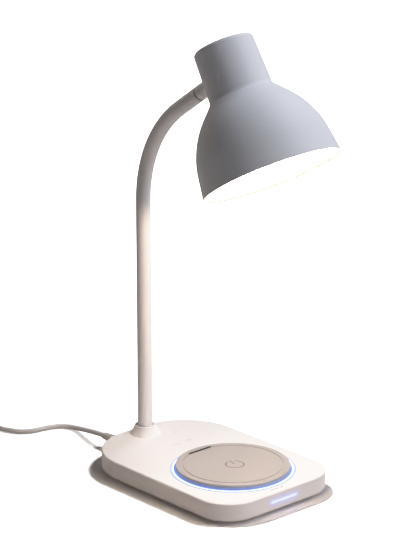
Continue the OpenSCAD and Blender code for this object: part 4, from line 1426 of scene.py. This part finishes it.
        # The card must not shade the room's light, so rays find the room by themselves
        world.cycles.sampling_method = "NONE"
        g = Graph(world.node_tree)
        seen = g.add("ShaderNodeLightPath").outputs["Is Camera Ray"]
        level = g.add("ShaderNodeMapRange", {0: seen, 3: self.room, 4: self.room_seen})
        back = next(n for n in g.tree.nodes if n.type == "BACKGROUND")
        g.feed(back, "Color", linear("f4f1ef"))
        g.feed(back, "Strength", level)

    def linked(self, name: str, objects: Iterable[bpy.types.Object], link: Link) -> bpy.types.Collection:
        """Makes a collection for light linking.

        Args:
            name: its name.
            objects: what it names.
            link: how a light treats them.

        Returns:
            The collection, which isn't part of the scene.
        """
        group = bpy.data.collections.new(name)
        for obj in objects:
            group.objects.link(obj)
        for item in group.collection_objects:
            item.light_linking.link_state = link.value
        return group

    def build(self, bulb: bpy.types.Object, cord: bpy.types.Object, base: LampBase) -> None:
        """Sets up everything but the camera.

        Args:
            bulb: the lamp's own light.
            cord: the cord, whose shadow is softer than the base's.
            base: the base, for the bar's place.
        """
        floor, under = self.floor()
        card = self.card()
        turning = ["neck_knuckle", "shade_shell", "inner_reflector", "diffuser"]
        for part in (LampArm, LampNeck, LampHead):
            turning += [node for nodes in part.plain.values() for node in nodes]
        tall = [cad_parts[node] for node in turning]
        lamp_only = self.linked("all_but_the_seen_floor", [floor], Link.ALL_BUT)
        floor_only = self.linked("the_seen_floor_alone", [floor], Link.ONLY)
        no_card = self.linked("all_but_the_card", [card], Link.ALL_BUT)
        no_tall = self.linked("all_but_the_tall_parts", tall, Link.ALL_BUT)
        no_cord = self.linked("all_but_the_cord_and_the_tall_parts", [cord, *tall], Link.ALL_BUT)
        low_only = self.linked("all_but_the_card_and_the_tall_parts", [card, *tall], Link.ALL_BUT)
        under.light_linking.blocker_collection = no_card
        lights = [(light, lamp_only, no_card) for light in (bulb, *map(self.area, STUDIO_LIGHTS))]
        lights += [
            (self.area(FLOOR_LIGHT), floor_only, no_tall),
            (self.area(FLOOR_SOFT), floor_only, no_cord),
            (self.area(FLOOR_FILL), floor_only, low_only),
            (self.glow(base), floor_only, no_card),
        ]
        for light, receivers, blockers in lights:
            light.light_linking.receiver_collection = receivers
            light.light_linking.blocker_collection = blockers
        self.world()
        self.exposure_curve()

    def exposure_curve(self) -> None:
        """Rolls the brightest tones off gently towards white, as the photograph's camera does."""
        view = bpy.context.scene.view_settings
        view.view_transform = "Standard"
        view.use_curve_mapping = True
        mapping = view.curve_mapping
        mapping.white_level = (self.white_at,) * 3
        every_colour = mapping.curves[3]
        for level, shown in self.shoulder:
            every_colour.points.new(level / self.white_at, shown)
        mapping.update()


# ------------------------------------------------------------------ all of it


def main() -> None:
    """Builds the camera and the cord, then the rest."""
    logging.basicConfig(level=logging.INFO, format="%(name)s: %(message)s")
    studio = Studio()
    studio.camera()
    store = FinishStore()
    cord, base, head = LampCord(store), LampBase(store), LampHead(store)
    parts: list[Assembly] = [cord, CordAdapter(store), base, LampArm(store), LampNeck(store), head]
    made: dict[str, bpy.types.Object] = {}
    dressed = 0
    for part in parts:
        for obj in part.build():
            made[obj.name] = obj
            LOG.info("%s: made %s", type(part).__name__, obj.name)
        dressed += part.dress()
    LOG.info("dressed %d of %d nodes", dressed, len(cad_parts))
    studio.build(head.light(), made["power_cord_line"], base)


if __name__ == "__main__":
    main()
